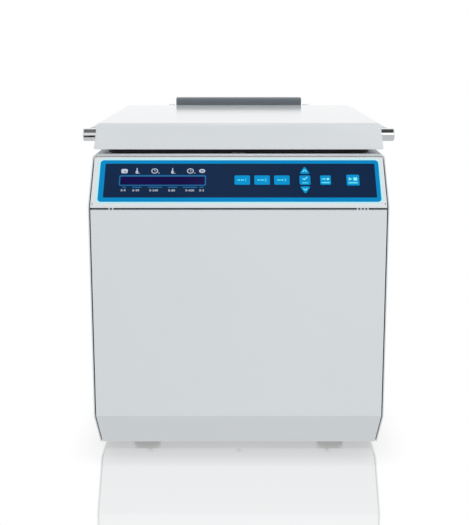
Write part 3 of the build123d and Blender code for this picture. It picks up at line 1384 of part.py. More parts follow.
def main():
    """Build every node and write its STEP file."""
    os.makedirs("parts", exist_ok=True)
    faces = key_outlines()
    nodes = {
        "base_tray": base_tray(),
        "corner_posts": corner_posts(),
        "top_deck": top_deck(),
        "left_side_panel": side_panel(-1),
        "right_side_panel": side_panel(1),
        "front_panel": front_panel(),
        "rear_panel": rear_panel(),
        "control_bezel": control_bezel(faces),
        "keypad_overlay": keypad_overlay(faces),
        "display_window": display_window(),
        "control_board": control_board(faces),
        "chamber_bowl": chamber_bowl(),
        "bowl_insulation": bowl_insulation(),
        "cooling_coil": cooling_coil(),
        "chamber_gasket": chamber_gasket(),
        "drive_motor": drive_motor(),
        "motor_bracket": motor_bracket(),
        "shaft_seal": shaft_seal(),
        "compressor": compressor(),
        "compressor_mounts": compressor_mounts(),
        "condenser": condenser(),
        "fan_housing": fan_housing(),
        "fan_guard": fan_guard(),
        "fan_rotor": fan_rotor(),
        "power_entry": power_entry(),
        "switch_rocker": switch_rocker(),
        "vacuum_port": vacuum_port(),
        "refrigerant_pipes": refrigerant_pipes(),
        "power_supply": power_supply(),
        "hinge_housing": hinge_housing(),
        "hinge_blocks": hinge_blocks(),
        "hinge_bushes": hinge_bushes(),
        "hinge_springs": hinge_springs(),
        "lock_solenoid": lock_solenoid(),
        "lock_bolt": lock_bolt(),
        "rubber_feet": feet(),
        "chassis_screws": chassis_screws(),
        "lid_shell": lid_shell(),
        "lid_liner": lid_liner(),
        "lid_plate": lid_plate(),
        "lid_screws": lid_screws(),
        "lid_side_rails": lid_side_rails(),
        "grip_bar": grip_bar(),
        "hinge_arms": hinge_arms(),
        "hinge_shaft": hinge_shaft(),
        "lock_striker": lock_striker(),
        "drive_shaft": drive_shaft(),
        "rotor_base": rotor_base(),
        "rotor_top_plate": rotor_top_plate(),
        "rotor_pillars": rotor_pillars(),
        "rotor_nut": rotor_nut(),
    }
    for node, face in faces.items():
        nodes[node] = key_cap(face)
    for node, shapes in nodes.items():
        save(node, *(shapes if isinstance(shapes, list) else [shapes]))
    gap = gap_of_coil(coil_radius(), COIL_PITCH, COIL_TUBE_R)
    print(f"cooling coil: least gap between turns {gap:.2f} mm")
    gap = gap_of_coil(SPRING_R, SPRING_PITCH, SPRING_WIRE_R)
    print(f"hinge spring: least gap between turns {gap:.2f} mm")


main()
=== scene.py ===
"""Centrifugal evaporator: finishes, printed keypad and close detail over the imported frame.

Lengths are in metres, +Z is up and the front faces -Y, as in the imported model.
"""
import logging
import math
from dataclasses import dataclass
from enum import Enum

import bmesh
import bpy
from mathutils import Matrix, Vector


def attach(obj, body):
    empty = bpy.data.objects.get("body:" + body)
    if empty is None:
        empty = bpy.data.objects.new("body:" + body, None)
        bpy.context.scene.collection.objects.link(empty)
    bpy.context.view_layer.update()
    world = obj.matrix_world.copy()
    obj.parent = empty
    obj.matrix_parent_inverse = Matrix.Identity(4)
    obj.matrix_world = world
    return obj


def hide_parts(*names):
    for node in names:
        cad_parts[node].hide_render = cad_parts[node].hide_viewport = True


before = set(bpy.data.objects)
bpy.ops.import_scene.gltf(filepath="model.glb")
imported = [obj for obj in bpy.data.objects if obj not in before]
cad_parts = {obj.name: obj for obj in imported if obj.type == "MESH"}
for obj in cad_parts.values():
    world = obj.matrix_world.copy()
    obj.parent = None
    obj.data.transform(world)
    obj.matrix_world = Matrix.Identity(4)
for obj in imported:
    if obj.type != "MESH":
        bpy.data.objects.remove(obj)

LOG = logging.getLogger("evaporator")
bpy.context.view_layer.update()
MM = 0.001
WELD = 1e-7
TINT_STOPS = (0.3, 0.7)
CLOUD_DETAIL = 4.0
GRAIN_DETAIL = 3.0
SMOOTHEST = 0.02
Loop = list[tuple[float, float]]
Triple = tuple[float, float, float]
Sides = tuple[float, float, float, float]
Values = dict[str | int, float | tuple[float, ...]]


class Grain(Enum):
    """Direction of the fine lines left by rolling, brushing or turning."""

    NONE = (60.0, 60.0, 60.0)
    ALONG_X = (3.0, 260.0, 260.0)
    ALONG_Y = (260.0, 3.0, 260.0)
    ALONG_Z = (260.0, 260.0, 3.0)


class Body(Enum):
    """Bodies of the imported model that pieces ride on."""

    CABINET = "cabinet"
    LID = "lid"
    ROCKER = "rocker"
    KEY_1 = "key_program_1_cap"
    KEY_2 = "key_program_2_cap"
    KEY_3 = "key_program_3_cap"
    KEY_UP = "key_up_cap"
    KEY_ENTER = "key_enter_cap"
    KEY_DOWN = "key_down_cap"
    KEY_RECALL = "key_recall_cap"
    KEY_START = "key_start_stop_cap"


class NodeTree:
    """Nodes of a material or a world, added and linked by short calls."""

    def __init__(self, owner: bpy.types.Material | bpy.types.World) -> None:
        """Turn the owner's nodes on and keep hold of them.

        Args:
            owner: Material or world that the nodes belong to.
        """
        owner.use_nodes = True
        self.nodes = owner.node_tree.nodes
        self.links = owner.node_tree.links

    def fill(self, node: bpy.types.Node, values: Values) -> None:
        """Set sockets of a node.

        Args:
            node: The node.
            values: Value of each socket, by the socket's name or number.
        """
        for socket, value in values.items():
            node.inputs[socket].default_value = value

    def add(self, kind: str, values: Values | None = None) -> bpy.types.Node:
        """Add a node and set some of its sockets.

        Args:
            kind: Kind of node, without the start that all kinds share.
            values: Value of each socket to set, by the socket's name or number.

        Returns:
            The node.
        """
        node = self.nodes.new("ShaderNode" + kind)
        self.fill(node, values or {})
        return node

    def join(self, start: bpy.types.Node, output: str, end: bpy.types.Node, socket: str | int) -> None:
        """Link an output of one node to a socket of another."""
        self.links.new(start.outputs[output], end.inputs[socket])

    def mix(self, share: bpy.types.NodeSocket, low: bpy.types.NodeSocket,
            high: bpy.types.NodeSocket) -> bpy.types.NodeSocket:
        """Mix two shaders.

        Args:
            share: Output that says how much of the second shader shows.
            low: First shader's output.
            high: Second shader's output.

        Returns:
            The mixture's output.
        """
        mixed = self.add("MixShader")
        for place, sent in enumerate((share, low, high)):
            self.links.new(sent, mixed.inputs[place])
        return mixed.outputs["Shader"]

    def show(self, sent: bpy.types.NodeSocket, output: str = "Material Output") -> None:
        """Send a shader to the output node."""
        self.links.new(sent, self.nodes[output].inputs["Surface"])


@dataclass(frozen=True)
class Finish:
    """Surface finish made from nodes: colour drift, gloss drift and fine relief.

    Attributes:
        name: Name of the material.
        colour: Linear base colour.
        roughness: Middle value of the roughness.
        metallic: 0 for paint and plastic, 1 for bare metal.
        drift: How far the colour varies over the surface.
        gloss_drift: How far the roughness varies.
        relief: Height of the fine bump, in metres.
        grain: Direction of the fine lines.
        grain_scale: Size of the fine relief, in cycles per metre.
        coat: Weight of a clear coat.
        specular: Specular level at the shader's socket.
        coat_roughness: Roughness of the clear coat.
        cloud_scale: Size of the colour drift, in cycles per metre.
        bump_share: Strength of the relief.
    """

    name: str
    colour: Triple
    roughness: float = 0.45
    metallic: float = 0.0
    drift: float = 0.02
    gloss_drift: float = 0.05
    relief: float = 0.00002
    grain: Grain = Grain.NONE
    grain_scale: float = 900.0
    coat: float = 0.0
    specular: float = 0.5
    coat_roughness: float = 0.08
    cloud_scale: float = 9.0
    bump_share: float = 0.35

    def material(self) -> bpy.types.Material:
        """Build the material, or return the one already built.

        Returns:
            The node material.
        """
        found = bpy.data.materials.get(self.name)
        if found:
            return found
        made = bpy.data.materials.new(self.name)
        tree = NodeTree(made)
        shader = tree.nodes["Principled BSDF"]
        tree.fill(shader, {"Metallic": self.metallic, "Specular IOR Level": self.specular,
                           "Coat Weight": self.coat, "Coat Roughness": self.coat_roughness})
        place = tree.add("TexCoord")
        broad = tree.add("TexNoise", {"Scale": self.cloud_scale, "Detail": CLOUD_DETAIL})
        tree.join(place, "Object", broad, "Vector")
        tint = tree.add("ValToRGB")
        for stop, position, way in zip(tint.color_ramp.elements, TINT_STOPS, (-1, 1)):
            stop.position = position
            stop.color = (*(min(1.0, c * (1 + way * self.drift)) for c in self.colour), 1)
        tree.join(broad, "Fac", tint, "Fac")
        tree.join(tint, "Color", shader, "Base Color")
        total = max(self.grain.value)
        stretch = tree.add("Mapping", {"Scale": tuple(v / total for v in self.grain.value)})
        tree.join(place, "Object", stretch, "Vector")
        fine = tree.add("TexNoise", {"Scale": self.grain_scale, "Detail": GRAIN_DETAIL})
        tree.join(stretch, "Vector", fine, "Vector")
        gloss = tree.add("MapRange", {"To Min": max(SMOOTHEST, self.roughness - self.gloss_drift),
                                      "To Max": min(1.0, self.roughness + self.gloss_drift)})
        tree.join(fine, "Fac", gloss, "Value")
        tree.join(gloss, "Result", shader, "Roughness")
        bump = tree.add("Bump", {"Strength": self.bump_share, "Distance": self.relief})
        tree.join(fine, "Fac", bump, "Height")
        tree.join(bump, "Normal", shader, "Normal")
        return made

    def dress(self, *pieces: bpy.types.Object) -> None:
        """Give this finish to every material slot of some pieces.

        Args:
            pieces: Objects to finish.
        """
        for piece in pieces:
            slots = piece.data.materials
            if not slots:
                slots.append(self.material())
            for index in range(len(slots)):
                slots[index] = self.material()


WHITE_COAT = Finish("white_powder_coat", (0.80, 0.815, 0.83), 0.5, specular=0.3, drift=0.006,
                    relief=0.00003, grain_scale=1500)
# Darker copy of the white powder coat for the front panel: painted shade of the vertical front, which gets
# less light than the top.
FRONT_COAT_SHADED = Finish("front_powder_coat_shaded", (0.755, 0.775, 0.79), 0.5, specular=0.3, drift=0.006,
                    relief=0.00003, grain_scale=1500)
LID_ENAMEL = Finish("lid_enamel", (0.78, 0.79, 0.80), 0.12, specular=0.36, drift=0.004, gloss_drift=0.02,
                    relief=0.000004)
RAIL_COAT = Finish("rail_coat", (0.78, 0.79, 0.80), 0.38, drift=0.01, grain=Grain.ALONG_Y)
HINGE_GREY = Finish("hinge_cover_grey", (0.150, 0.172, 0.190), 0.45, drift=0.04, relief=0.00006,
                    grain_scale=1600)
CHROME = Finish("polished_chrome", (0.70, 0.71, 0.72), 0.13, metallic=1.0, drift=0.02, gloss_drift=0.02,
                relief=0.000002)
LINER_BLACK = Finish("liner_black", (0.012, 0.012, 0.013), 0.62, drift=0.1, relief=0.00008,
                     grain_scale=1200)
RUBBER_BLACK = Finish("rubber_black", (0.018, 0.018, 0.018), 0.72, drift=0.12, relief=0.0001,
                      grain_scale=700)
MOULDED_BLACK = Finish("moulded_black", (0.022, 0.022, 0.024), 0.42, drift=0.08, relief=0.00006,
                       grain_scale=1400)
STAINLESS = Finish("drawn_stainless", (0.60, 0.605, 0.61), 0.28, metallic=1.0, drift=0.03, gloss_drift=0.08,
                   relief=0.00001, grain=Grain.ALONG_Z, grain_scale=700)
BRIGHT_STEEL = Finish("ground_steel", (0.62, 0.62, 0.63), 0.22, metallic=1.0, drift=0.03, relief=0.000008,
                      grain=Grain.ALONG_X)
ZINC = Finish("zinc_sheet", (0.56, 0.57, 0.58), 0.38, metallic=1.0, drift=0.07, gloss_drift=0.1,
              grain_scale=160)
ALUMINIUM = Finish("anodised_aluminium", (0.66, 0.67, 0.68), 0.34, metallic=1.0, drift=0.03,
                   grain=Grain.ALONG_X)
COPPER = Finish("copper_tube", (0.70, 0.34, 0.20), 0.28, metallic=1.0, drift=0.12, gloss_drift=0.1)
BRONZE = Finish("sintered_bronze", (0.50, 0.33, 0.15), 0.42, metallic=1.0, drift=0.1, grain_scale=2400)
FILTER_GREY = Finish("filter_pad", (0.03, 0.031, 0.033), 0.9, drift=0.3, relief=0.0008, grain_scale=800)
FOAM = Finish("insulation_foam", (0.66, 0.60, 0.42), 0.9, drift=0.1, relief=0.0006, grain_scale=420)
IRON_BLACK = Finish("black_enamel", (0.02, 0.02, 0.022), 0.3, drift=0.1, relief=0.00005,
                    grain_scale=260, coat=0.4)
BOARD_GREEN = Finish("circuit_board", (0.02, 0.16, 0.07), 0.4, drift=0.15, grain_scale=300)
FILM_NAVY = Finish("film_navy", (0.0045, 0.0225, 0.0700), 0.36, drift=0.10, relief=0.00003,
                   grain_scale=2400, specular=0.1)
FILM_BLUE = Finish("film_blue", (0.0005, 0.2600, 0.5950), 0.36, drift=0.04, relief=0.00003,
                   grain_scale=2400, specular=0.05)
# Pale cyan of the film's edge: painted highlight, where the edge catches light.
FILM_EDGE_HIGHLIGHT = Finish("film_edge_painted_highlight", (0.56, 0.97, 1.0), 0.3, drift=0.01)
KEY_BLUE = Finish("key_blue", (0.0010, 0.3050, 0.6700), 0.34, drift=0.05, relief=0.00003, grain_scale=2400,
                  specular=0.05)
FRAME_CYAN = Finish("frame_cyan", (0.014, 0.150, 0.360), 0.35, drift=0.05, specular=0.1)
GLYPH_CYAN = Finish("glyph_cyan", (0.110, 0.860, 1.000), 0.35, drift=0.03)
GLYPH_PALE = Finish("glyph_pale", (0.260, 0.960, 1.000), 0.35, drift=0.03)
INK_WHITE = Finish("ink_white", (0.60, 0.64, 0.76), 0.4, drift=0.03)
DISPLAY_DARK = Finish("display_dark", (0.0060, 0.0030, 0.0560), 0.2, drift=0.35, relief=0.000002,
                      specular=0.12)


@dataclass(frozen=True)
class SlopedPanel:
    """Plane of the control panel: X across, S up the slope from the knee, N out of it."""

    front_y: float = -295 * MM
    knee_z: float = 366 * MM
    film: float = 0.4 * MM
    key_proud: float = 0.5 * MM

    def place(self, x: float, s: float, n: float) -> Matrix:
        """Frame on the panel.

        Args:
            x: Distance across, in metres.
            s: Distance up the slope, in metres.
            n: Height above the bezel's face, in metres.

        Returns:
            Matrix whose Z axis points out of the panel.
        """
        root = math.sqrt(0.5)
        origin = Vector((x, self.front_y + (s - n) * root, self.knee_z + (s + n) * root))
        turn = Matrix(((1, 0, 0), (0, root, -root), (0, root, root))).to_4x4()
        return Matrix.Translation(origin) @ turn


PANEL = SlopedPanel()


def round_box(x0: float, x1: float, y0: float, y1: float, radius: float, steps: int = 6) -> Loop:
    """Rounded rectangle as a loop of points.

    Args:
        x0: Low side across.
        x1: High side across.
        y0: Low side up.
        y1: High side up.
        radius: Corner radius.
        steps: Pieces in each corner.

    Returns:
        The points, anticlockwise.
    """
    loop: Loop = []
    corners = ((x1 - radius, y0 + radius, -90), (x1 - radius, y1 - radius, 0),
               (x0 + radius, y1 - radius, 90), (x0 + radius, y0 + radius, 180))
    for cx, cy, start in corners:
        for step in range(steps + 1):
            turn = math.radians(start + 90 * step / steps)
            loop.append((cx + radius * math.cos(turn), cy + radius * math.sin(turn)))
    return loop


def ring_loop(x: float, y: float, rx: float, ry: float, steps: int = 28) -> Loop:
    """Ellipse as a loop of points."""
    turns = [2 * math.pi * step / steps for step in range(steps)]
    return [(x + rx * math.cos(turn), y + ry * math.sin(turn)) for turn in turns]


def softened(corners: Loop, radius: float, steps: int = 4) -> Loop:
    """Polygon with rounded corners.

    Args:
        corners: Corner points in order.
        radius: Corner radius.
        steps: Pieces in each corner.

    Returns:
        The loop of points.
    """
    loop: Loop = []
    count = len(corners)
    for index, corner in enumerate(corners):
        here = Vector(corner)
        before = (Vector(corners[index - 1]) - here).normalized()
        after = (Vector(corners[(index + 1) % count]) - here).normalized()
        half = before.angle(after) / 2
        reach = radius / math.tan(half)
        start, end = here + before * reach, here + after * reach
        for step in range(steps + 1):
            t = step / steps
            point = start * (1 - t) ** 2 + here * 2 * t * (1 - t) + end * t ** 2
            loop.append((point.x, point.y))
    return loop


def own(piece: bpy.types.Object, body: Body, finish: Finish) -> None:
    """Finish a piece, put it on its body and report it.

    Args:
        piece: The object.
        body: Body that it rides on.
        finish: Its finish.
    """
    finish.dress(piece)
    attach(piece, body.value)
    LOG.info("%s: %d faces", piece.name, len(piece.data.polygons))


def dress_packed(finishes: dict[Finish, tuple[str, ...]]) -> None:
    """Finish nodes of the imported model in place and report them.

    Args:
        finishes: Names of the nodes that each finish goes on.
    """
    for finish, names in finishes.items():
        for name in names:
            finish.dress(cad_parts[name])
            LOG.info("%s: %s", name, finish.name)


def link(name: str, mesh: bpy.types.Mesh, place: Matrix = Matrix.Identity(4)) -> bpy.types.Object:
    """Put a mesh in the scene as an object at the origin.

    Args:
        name: Name of the object.
        mesh: The mesh.
        place: Frame that its vertices move to.

    Returns:
        The object.
    """
    mesh.transform(place)
    piece = bpy.data.objects.new(name, mesh)
    bpy.context.scene.collection.objects.link(piece)
    return piece


def shade(piece: bpy.types.Object, angle: float = 35.0) -> None:
    """Shade smooth, with edges sharper than an angle in degrees kept sharp."""
    piece.data.shade_smooth()
    piece.data.set_sharp_from_angle(angle=math.radians(angle))


def curve_mesh(name: str, curve: bpy.types.Curve) -> bpy.types.Mesh:
    """Turn a curve or a line of figures into a mesh.

    Args:
        name: Name of the mesh.
        curve: The curve.

    Returns:
        The mesh.
    """
    carrier = bpy.data.objects.new(name + "_line", curve)
    bpy.context.scene.collection.objects.link(carrier)
    bpy.context.view_layer.update()
    mesh = bpy.data.meshes.new_from_object(carrier.evaluated_get(bpy.context.evaluated_depsgraph_get()))
    bpy.data.objects.remove(carrier)
    mesh.name = name
    return mesh


def built_mesh(name: str, build: bmesh.types.BMesh, mesh: bpy.types.Mesh | None = None) -> bpy.types.Mesh:
    """Write the mesh under construction to a mesh and close it.

    Args:
        name: Name of the mesh.
        build: Mesh under construction.
        mesh: Mesh to write to, where there is one already.

    Returns:
        The mesh.
    """
    mesh = mesh or bpy.data.meshes.new(name)
    build.to_mesh(mesh)
    build.free()
    return mesh


def flat_plate(name: str, loops: list[Loop], depth: float, place: Matrix) -> bpy.types.Object:
    """Thin plate from an outer loop and its holes.

    Args:
        name: Name of the piece.
        loops: Outer loop first, then the holes.
        depth: Thickness, from the frame's plane outwards.
        place: Frame that the loops lie in.

    Returns:
        The plate.
    """
    curve = bpy.data.curves.new(name, "CURVE")
    curve.dimensions = "2D"
    curve.fill_mode = "BOTH"
    curve.extrude = depth / 2
    for loop in loops:
        spline = curve.splines.new("POLY")
        spline.points.add(len(loop) - 1)
        for point, (x, y) in zip(spline.points, loop):
            point.co = (x, y, 0, 1)
        spline.use_cyclic_u = True
    mesh = curve_mesh(name, curve)
    build = bmesh.new()
    build.from_mesh(mesh)
    bmesh.ops.remove_doubles(build, verts=build.verts, dist=WELD)
    bmesh.ops.recalc_face_normals(build, faces=build.faces)
    return link(name, built_mesh(name, build, mesh), place @ Matrix.Translation((0, 0, depth / 2)))


def stacked(name: str, loops: list[tuple[Loop, float]]) -> bpy.types.Object:
    """Skin through loops of equal length, closed at both ends.

    Args:
        name: Name of the piece.
        loops: Each loop with its height.

    Returns:
        The skin.
    """
    build = bmesh.new()
    rows = [[build.verts.new((x, y, z)) for x, y in loop] for loop, z in loops]
    for low, high in zip(rows, rows[1:]):
        for index in range(len(low)):
            nxt = (index + 1) % len(low)
            build.faces.new((low[index], low[nxt], high[nxt], high[index]))
    build.faces.new(list(reversed(rows[0])))
    build.faces.new(rows[-1])
    bmesh.ops.recalc_face_normals(build, faces=build.faces)
    return link(name, built_mesh(name, build))


def lathe(name: str, profile: Loop, place: Matrix, steps: int = 64) -> bpy.types.Object:
    """Turn a profile of (radius, height) points about the frame's Z axis.

    Args:
        name: Name of the piece.
        profile: Points from one end to the other; a radius of zero closes an end.
        place: Frame whose Z is the axis.
        steps: Pieces round the axis.

    Returns:
        The turned piece.
    """
    build = bmesh.new()
    rows = []
    for radius, height in profile:
        round_points = ring_loop(0, 0, radius, radius, steps) if radius > 0 else [(0.0, 0.0)]
        rows.append([build.verts.new((x, y, height)) for x, y in round_points])
    for low, high in zip(rows, rows[1:]):
        for step in range(steps):
            nxt = (step + 1) % steps
            around = ((low, step), (low, nxt), (high, nxt), (high, step))
            unique = list(dict.fromkeys(row[at % len(row)] for row, at in around))
            if len(unique) > 2:
                build.faces.new(unique)
    bmesh.ops.recalc_face_normals(build, faces=build.faces)
    piece = link(name, built_mesh(name, build), place)
    shade(piece, 30)
    return piece


def rounded_profile(radius: float, z0: float, z1: float, edge: float, steps: int = 5) -> Loop:
    """Profile of a closed rod with rounded rims.

    Args:
        radius: Radius of the rod.
        z0: Height of its lower end.
        z1: Height of its upper end.
        edge: Radius of its rims.
        steps: Pieces in each rim.

    Returns:
        The points, from the lower end to the upper.
    """
    turns = [math.radians(90 * step / steps) for step in range(steps + 1)]
    foot = [(radius - edge + edge * math.sin(t), z0 + edge - edge * math.cos(t)) for t in turns]
    head = [(radius - edge + edge * math.cos(t), z1 - edge + edge * math.sin(t)) for t in turns]
    return [(0.0, z0), *foot, *head, (0.0, z1)]


def scaled(points_mm: Loop) -> Loop:
    """Points in metres, from points in millimetres."""
    return [(x * MM, y * MM) for x, y in points_mm]


ALONG_X = Matrix.Rotation(math.radians(90), 4, "Y")
FACING_RIGHT = Matrix(((0, 0, 1), (1, 0, 0), (0, 1, 0))).to_4x4()
FACING_LEFT = Matrix(((0, 0, -1), (-1, 0, 0), (0, 1, 0))).to_4x4()
FACING_REAR = Matrix(((-1, 0, 0), (0, 0, 1), (0, 1, 0))).to_4x4()
REAR_UNTURNED = Matrix(((1, 0, 0), (0, 0, 1), (0, 1, 0))).to_4x4()


@dataclass
class Lid:
    """Lid: enamelled shell, liner, pressure plate, grip bar and side rails."""

    half_w: float = 201 * MM
    front_y: float = -219.5 * MM
    rear_y: float = 211 * MM
    base_z: float = 433.2 * MM
    top_z: float = 469.2 * MM
    draft: float = 4.1 * MM
    wall: float = 2.5 * MM
    lip_w: float = 15 * MM
    lip_t: float = 1.2 * MM
    corner_r: float = 6 * MM
    edge_r: float = 5 * MM
    foot_r: float = 0.8 * MM
    foot_steps: int = 3
    edge_steps: int = 8
    grip_r: float = 9 * MM
    grip_half: float = 218 * MM
    grip_end_r: float = 1.8 * MM
    grip_y: float = -190 * MM
    grip_z: float = 451.2 * MM
    collar: Triple = (186 * MM, 192 * MM, 12 * MM)
    collar_edge: float = 0.6 * MM

    def level(self, inset: float, height: float) -> tuple[Loop, float]:
        """Rounded outline of the lid, set in from its base outline, with its height."""
        half = self.half_w - inset
        return round_box(-half, half, self.front_y + inset, self.rear_y - inset, self.corner_r, 8), height

    def draw_in(self, z: float) -> float:
        """Inward lean of the side walls at a height."""
        return self.draft * (z - self.base_z) / (self.top_z - self.base_z)

    def shell(self) -> None:
        """Build the shell from its inner lip, up the drafted wall and over the rounded edge."""
        roof_in = self.top_z - self.wall
        lip_top = self.base_z + self.lip_t
        levels = [self.level(self.draw_in(roof_in) + self.wall, roof_in),
                  self.level(self.draw_in(lip_top) + self.wall, lip_top),
                  self.level(self.lip_w, lip_top), self.level(self.lip_w, self.base_z)]
        for step in range(self.foot_steps + 1):
            turn = math.radians(90 * step / self.foot_steps)
            height = self.base_z + self.foot_r * (1 - math.cos(turn))
            levels.append(self.level(self.foot_r * (1 - math.sin(turn)) + self.draw_in(height), height))
        lean = math.atan2(self.draft, self.top_z - self.base_z)
        reach = math.pi / 2 - lean
        for step in range(self.edge_steps + 1):
            turn = lean + reach * step / self.edge_steps
            height = self.top_z - self.edge_r + self.edge_r * math.sin(turn)
            levels.append(self.level(self.draft + self.edge_r * (1 - math.cos(turn)), height))
        piece = stacked("lid_skin", levels)
        shade(piece, 40)
        even = piece.modifiers.new("even", "WEIGHTED_NORMAL")
        even.keep_sharp = True
        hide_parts("lid_shell")
        own(piece, Body.LID, LID_ENAMEL)

    def grips(self) -> None:
        """Turn the chrome bar whose two ends are the grips."""
        profile = rounded_profile(self.grip_r, -self.grip_half, self.grip_half, self.grip_end_r)
        place = Matrix.Translation((0, self.grip_y, self.grip_z)) @ ALONG_X
        bar = lathe("grip_rod", profile, place, 72)
        x0, x1, radius = self.collar
        for side in (-1, 1):
            ends = sorted((side * x0, side * x1))
            name = "grip_collar_right" if side > 0 else "grip_collar_left"
            collar = lathe(name, rounded_profile(radius, *ends, self.collar_edge), place, 48)
            own(collar, Body.LID, CHROME)
        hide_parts("grip_bar")
        own(bar, Body.LID, CHROME)

    def build(self) -> None:
        """Make the lid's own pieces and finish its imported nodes."""
        self.shell()
        self.grips()
        dress_packed({
            RAIL_COAT: ("lid_side_rails",),
            LINER_BLACK: ("lid_liner",),
            ALUMINIUM: ("lid_plate", "hinge_arms"),
            BRIGHT_STEEL: ("lid_screws", "hinge_shaft", "lock_striker"),
        })


@dataclass(frozen=True)
class Mark:
    """Shape printed on the panel, in millimetres about its own middle.

    Attributes:
        name: Its name, or the end of it where several marks share the start.
        loops: Outer loop, then the holes.
        body: Body that it rides on.
        ink: Its finish.
    """

    name: str
    loops: tuple[Loop, ...]
    body: Body = Body.CABINET
    ink: Finish = INK_WHITE

    def at(self, x: float, s: float) -> list[Loop]:
        """Loops in metres, with the middle at a place on the panel."""
        return [[(x + px * MM, s + py * MM) for px, py in loop] for loop in self.loops]


def heat_sign(bulb: float = 1.9, stem: float = 0.65, low: float = -1.6, top: float = 4.4) -> Loop:
    """Outline of a round bulb under a thin stem, in millimetres.

    Args:
        bulb: Radius of the bulb.
        stem: Half width of the stem.
        low: Height of the bulb's middle.
        top: Height of the stem's shoulders.

    Returns:
        The points.
    """
    start = math.asin(stem / bulb)
    turns = [math.pi / 2 + start + (2 * math.pi - 2 * start) * step / 20 for step in range(21)]
    loop = [(bulb * math.cos(turn), low + bulb * math.sin(turn)) for turn in turns]
    cap = top + 0.6
    return loop + [(stem, top), (stem * 0.5, cap), (-stem * 0.5, cap), (-stem, top)]


def chevron(way: int, half: float = 3.5, rise: float = 1.9, thick: float = 1.5) -> Loop:
    """Arrow head, in millimetres.

    Args:
        way: 1 to point up, -1 to point down.
        half: Half its width.
        rise: Half its height, without its thickness.
        thick: Its thickness.

    Returns:
        The points.
    """
    low = -way * (rise + thick)
    loop = [(-half, -way * rise), (0.0, way * rise), (half, -way * rise), (half - thick, low),
            (0.0, way * (rise - 1.5 * thick)), (thick - half, low)]
    return loop if way < 0 else loop[::-1]


# Marks over the pane, then those on the keys.
CARD = (Mark("", (round_box(-4.4, 4.4, -4.0, 3.4, 2.2), round_box(-0.6, 2.6, -2.0, -0.8, 0.5))),)
HEAT = (Mark("", (heat_sign(),)), Mark("_line", (round_box(-1.8, 4.0, -4.4, -3.6, 0.35),)))
CLOCK = (
    Mark("", (ring_loop(0, 0, 4.6, 4.4), ring_loop(0, 0, 3.4, 3.2))),
    Mark("_hands", ([(-0.4, 2.4), (-0.4, -0.4), (2.0, -0.4), (2.0, 0.4), (0.4, 0.4), (0.4, 2.4)],)),
    Mark("_dot", (ring_loop(5.8, -3.6, 0.8, 0.8, 12),)),
)
EYE = (Mark("", (ring_loop(0, 0, 4.2, 3.4), ring_loop(0, 0, 2.1, 1.9, 16))),
       Mark("_pupil", (ring_loop(0, 0, 1.1, 1.0, 12),)))
ENTER_MARKS = (
    Mark("tick_enter", ([(-3.5, 2.4), (-2.6, 3.4), (-1.1, 1.7), (2.8, 5.5), (3.8, 4.5), (-1.1, -0.3)],),
         Body.KEY_ENTER, GLYPH_PALE),
    Mark("line_enter", (round_box(-4.0, 4.0, -5.6, -4.2, 0.5, 3),), Body.KEY_ENTER, GLYPH_CYAN),
)
RECALL_MARKS = (
    Mark("arrow_recall", ([(-5.4, 2.7), (-1.6, 2.7), (-1.6, 3.8), (0.8, 1.7), (-1.6, -0.4), (-1.6, 0.7),
                           (-5.4, 0.7)],), Body.KEY_RECALL, GLYPH_CYAN),
    Mark("dot_recall", (ring_loop(3.2, 1.7, 1.9, 1.9, 20),), Body.KEY_RECALL, GLYPH_PALE),
    Mark("line_recall", (round_box(-5.6, 5.6, -5.4, -3.3, 0.8, 3),), Body.KEY_RECALL, GLYPH_CYAN),
)
START_MARKS = (
    Mark("play_start", ([(-5.6, -1.0), (-0.9, 1.7), (-5.6, 4.4)],), Body.KEY_START, GLYPH_PALE),
    Mark("square_stop", (round_box(0.6, 5.8, -0.9, 4.3, 0.6, 3),), Body.KEY_START, GLYPH_PALE),
    Mark("line_start", (round_box(-6.4, 6.4, -5.8, -3.4, 0.9, 3),), Body.KEY_START, GLYPH_CYAN),
)


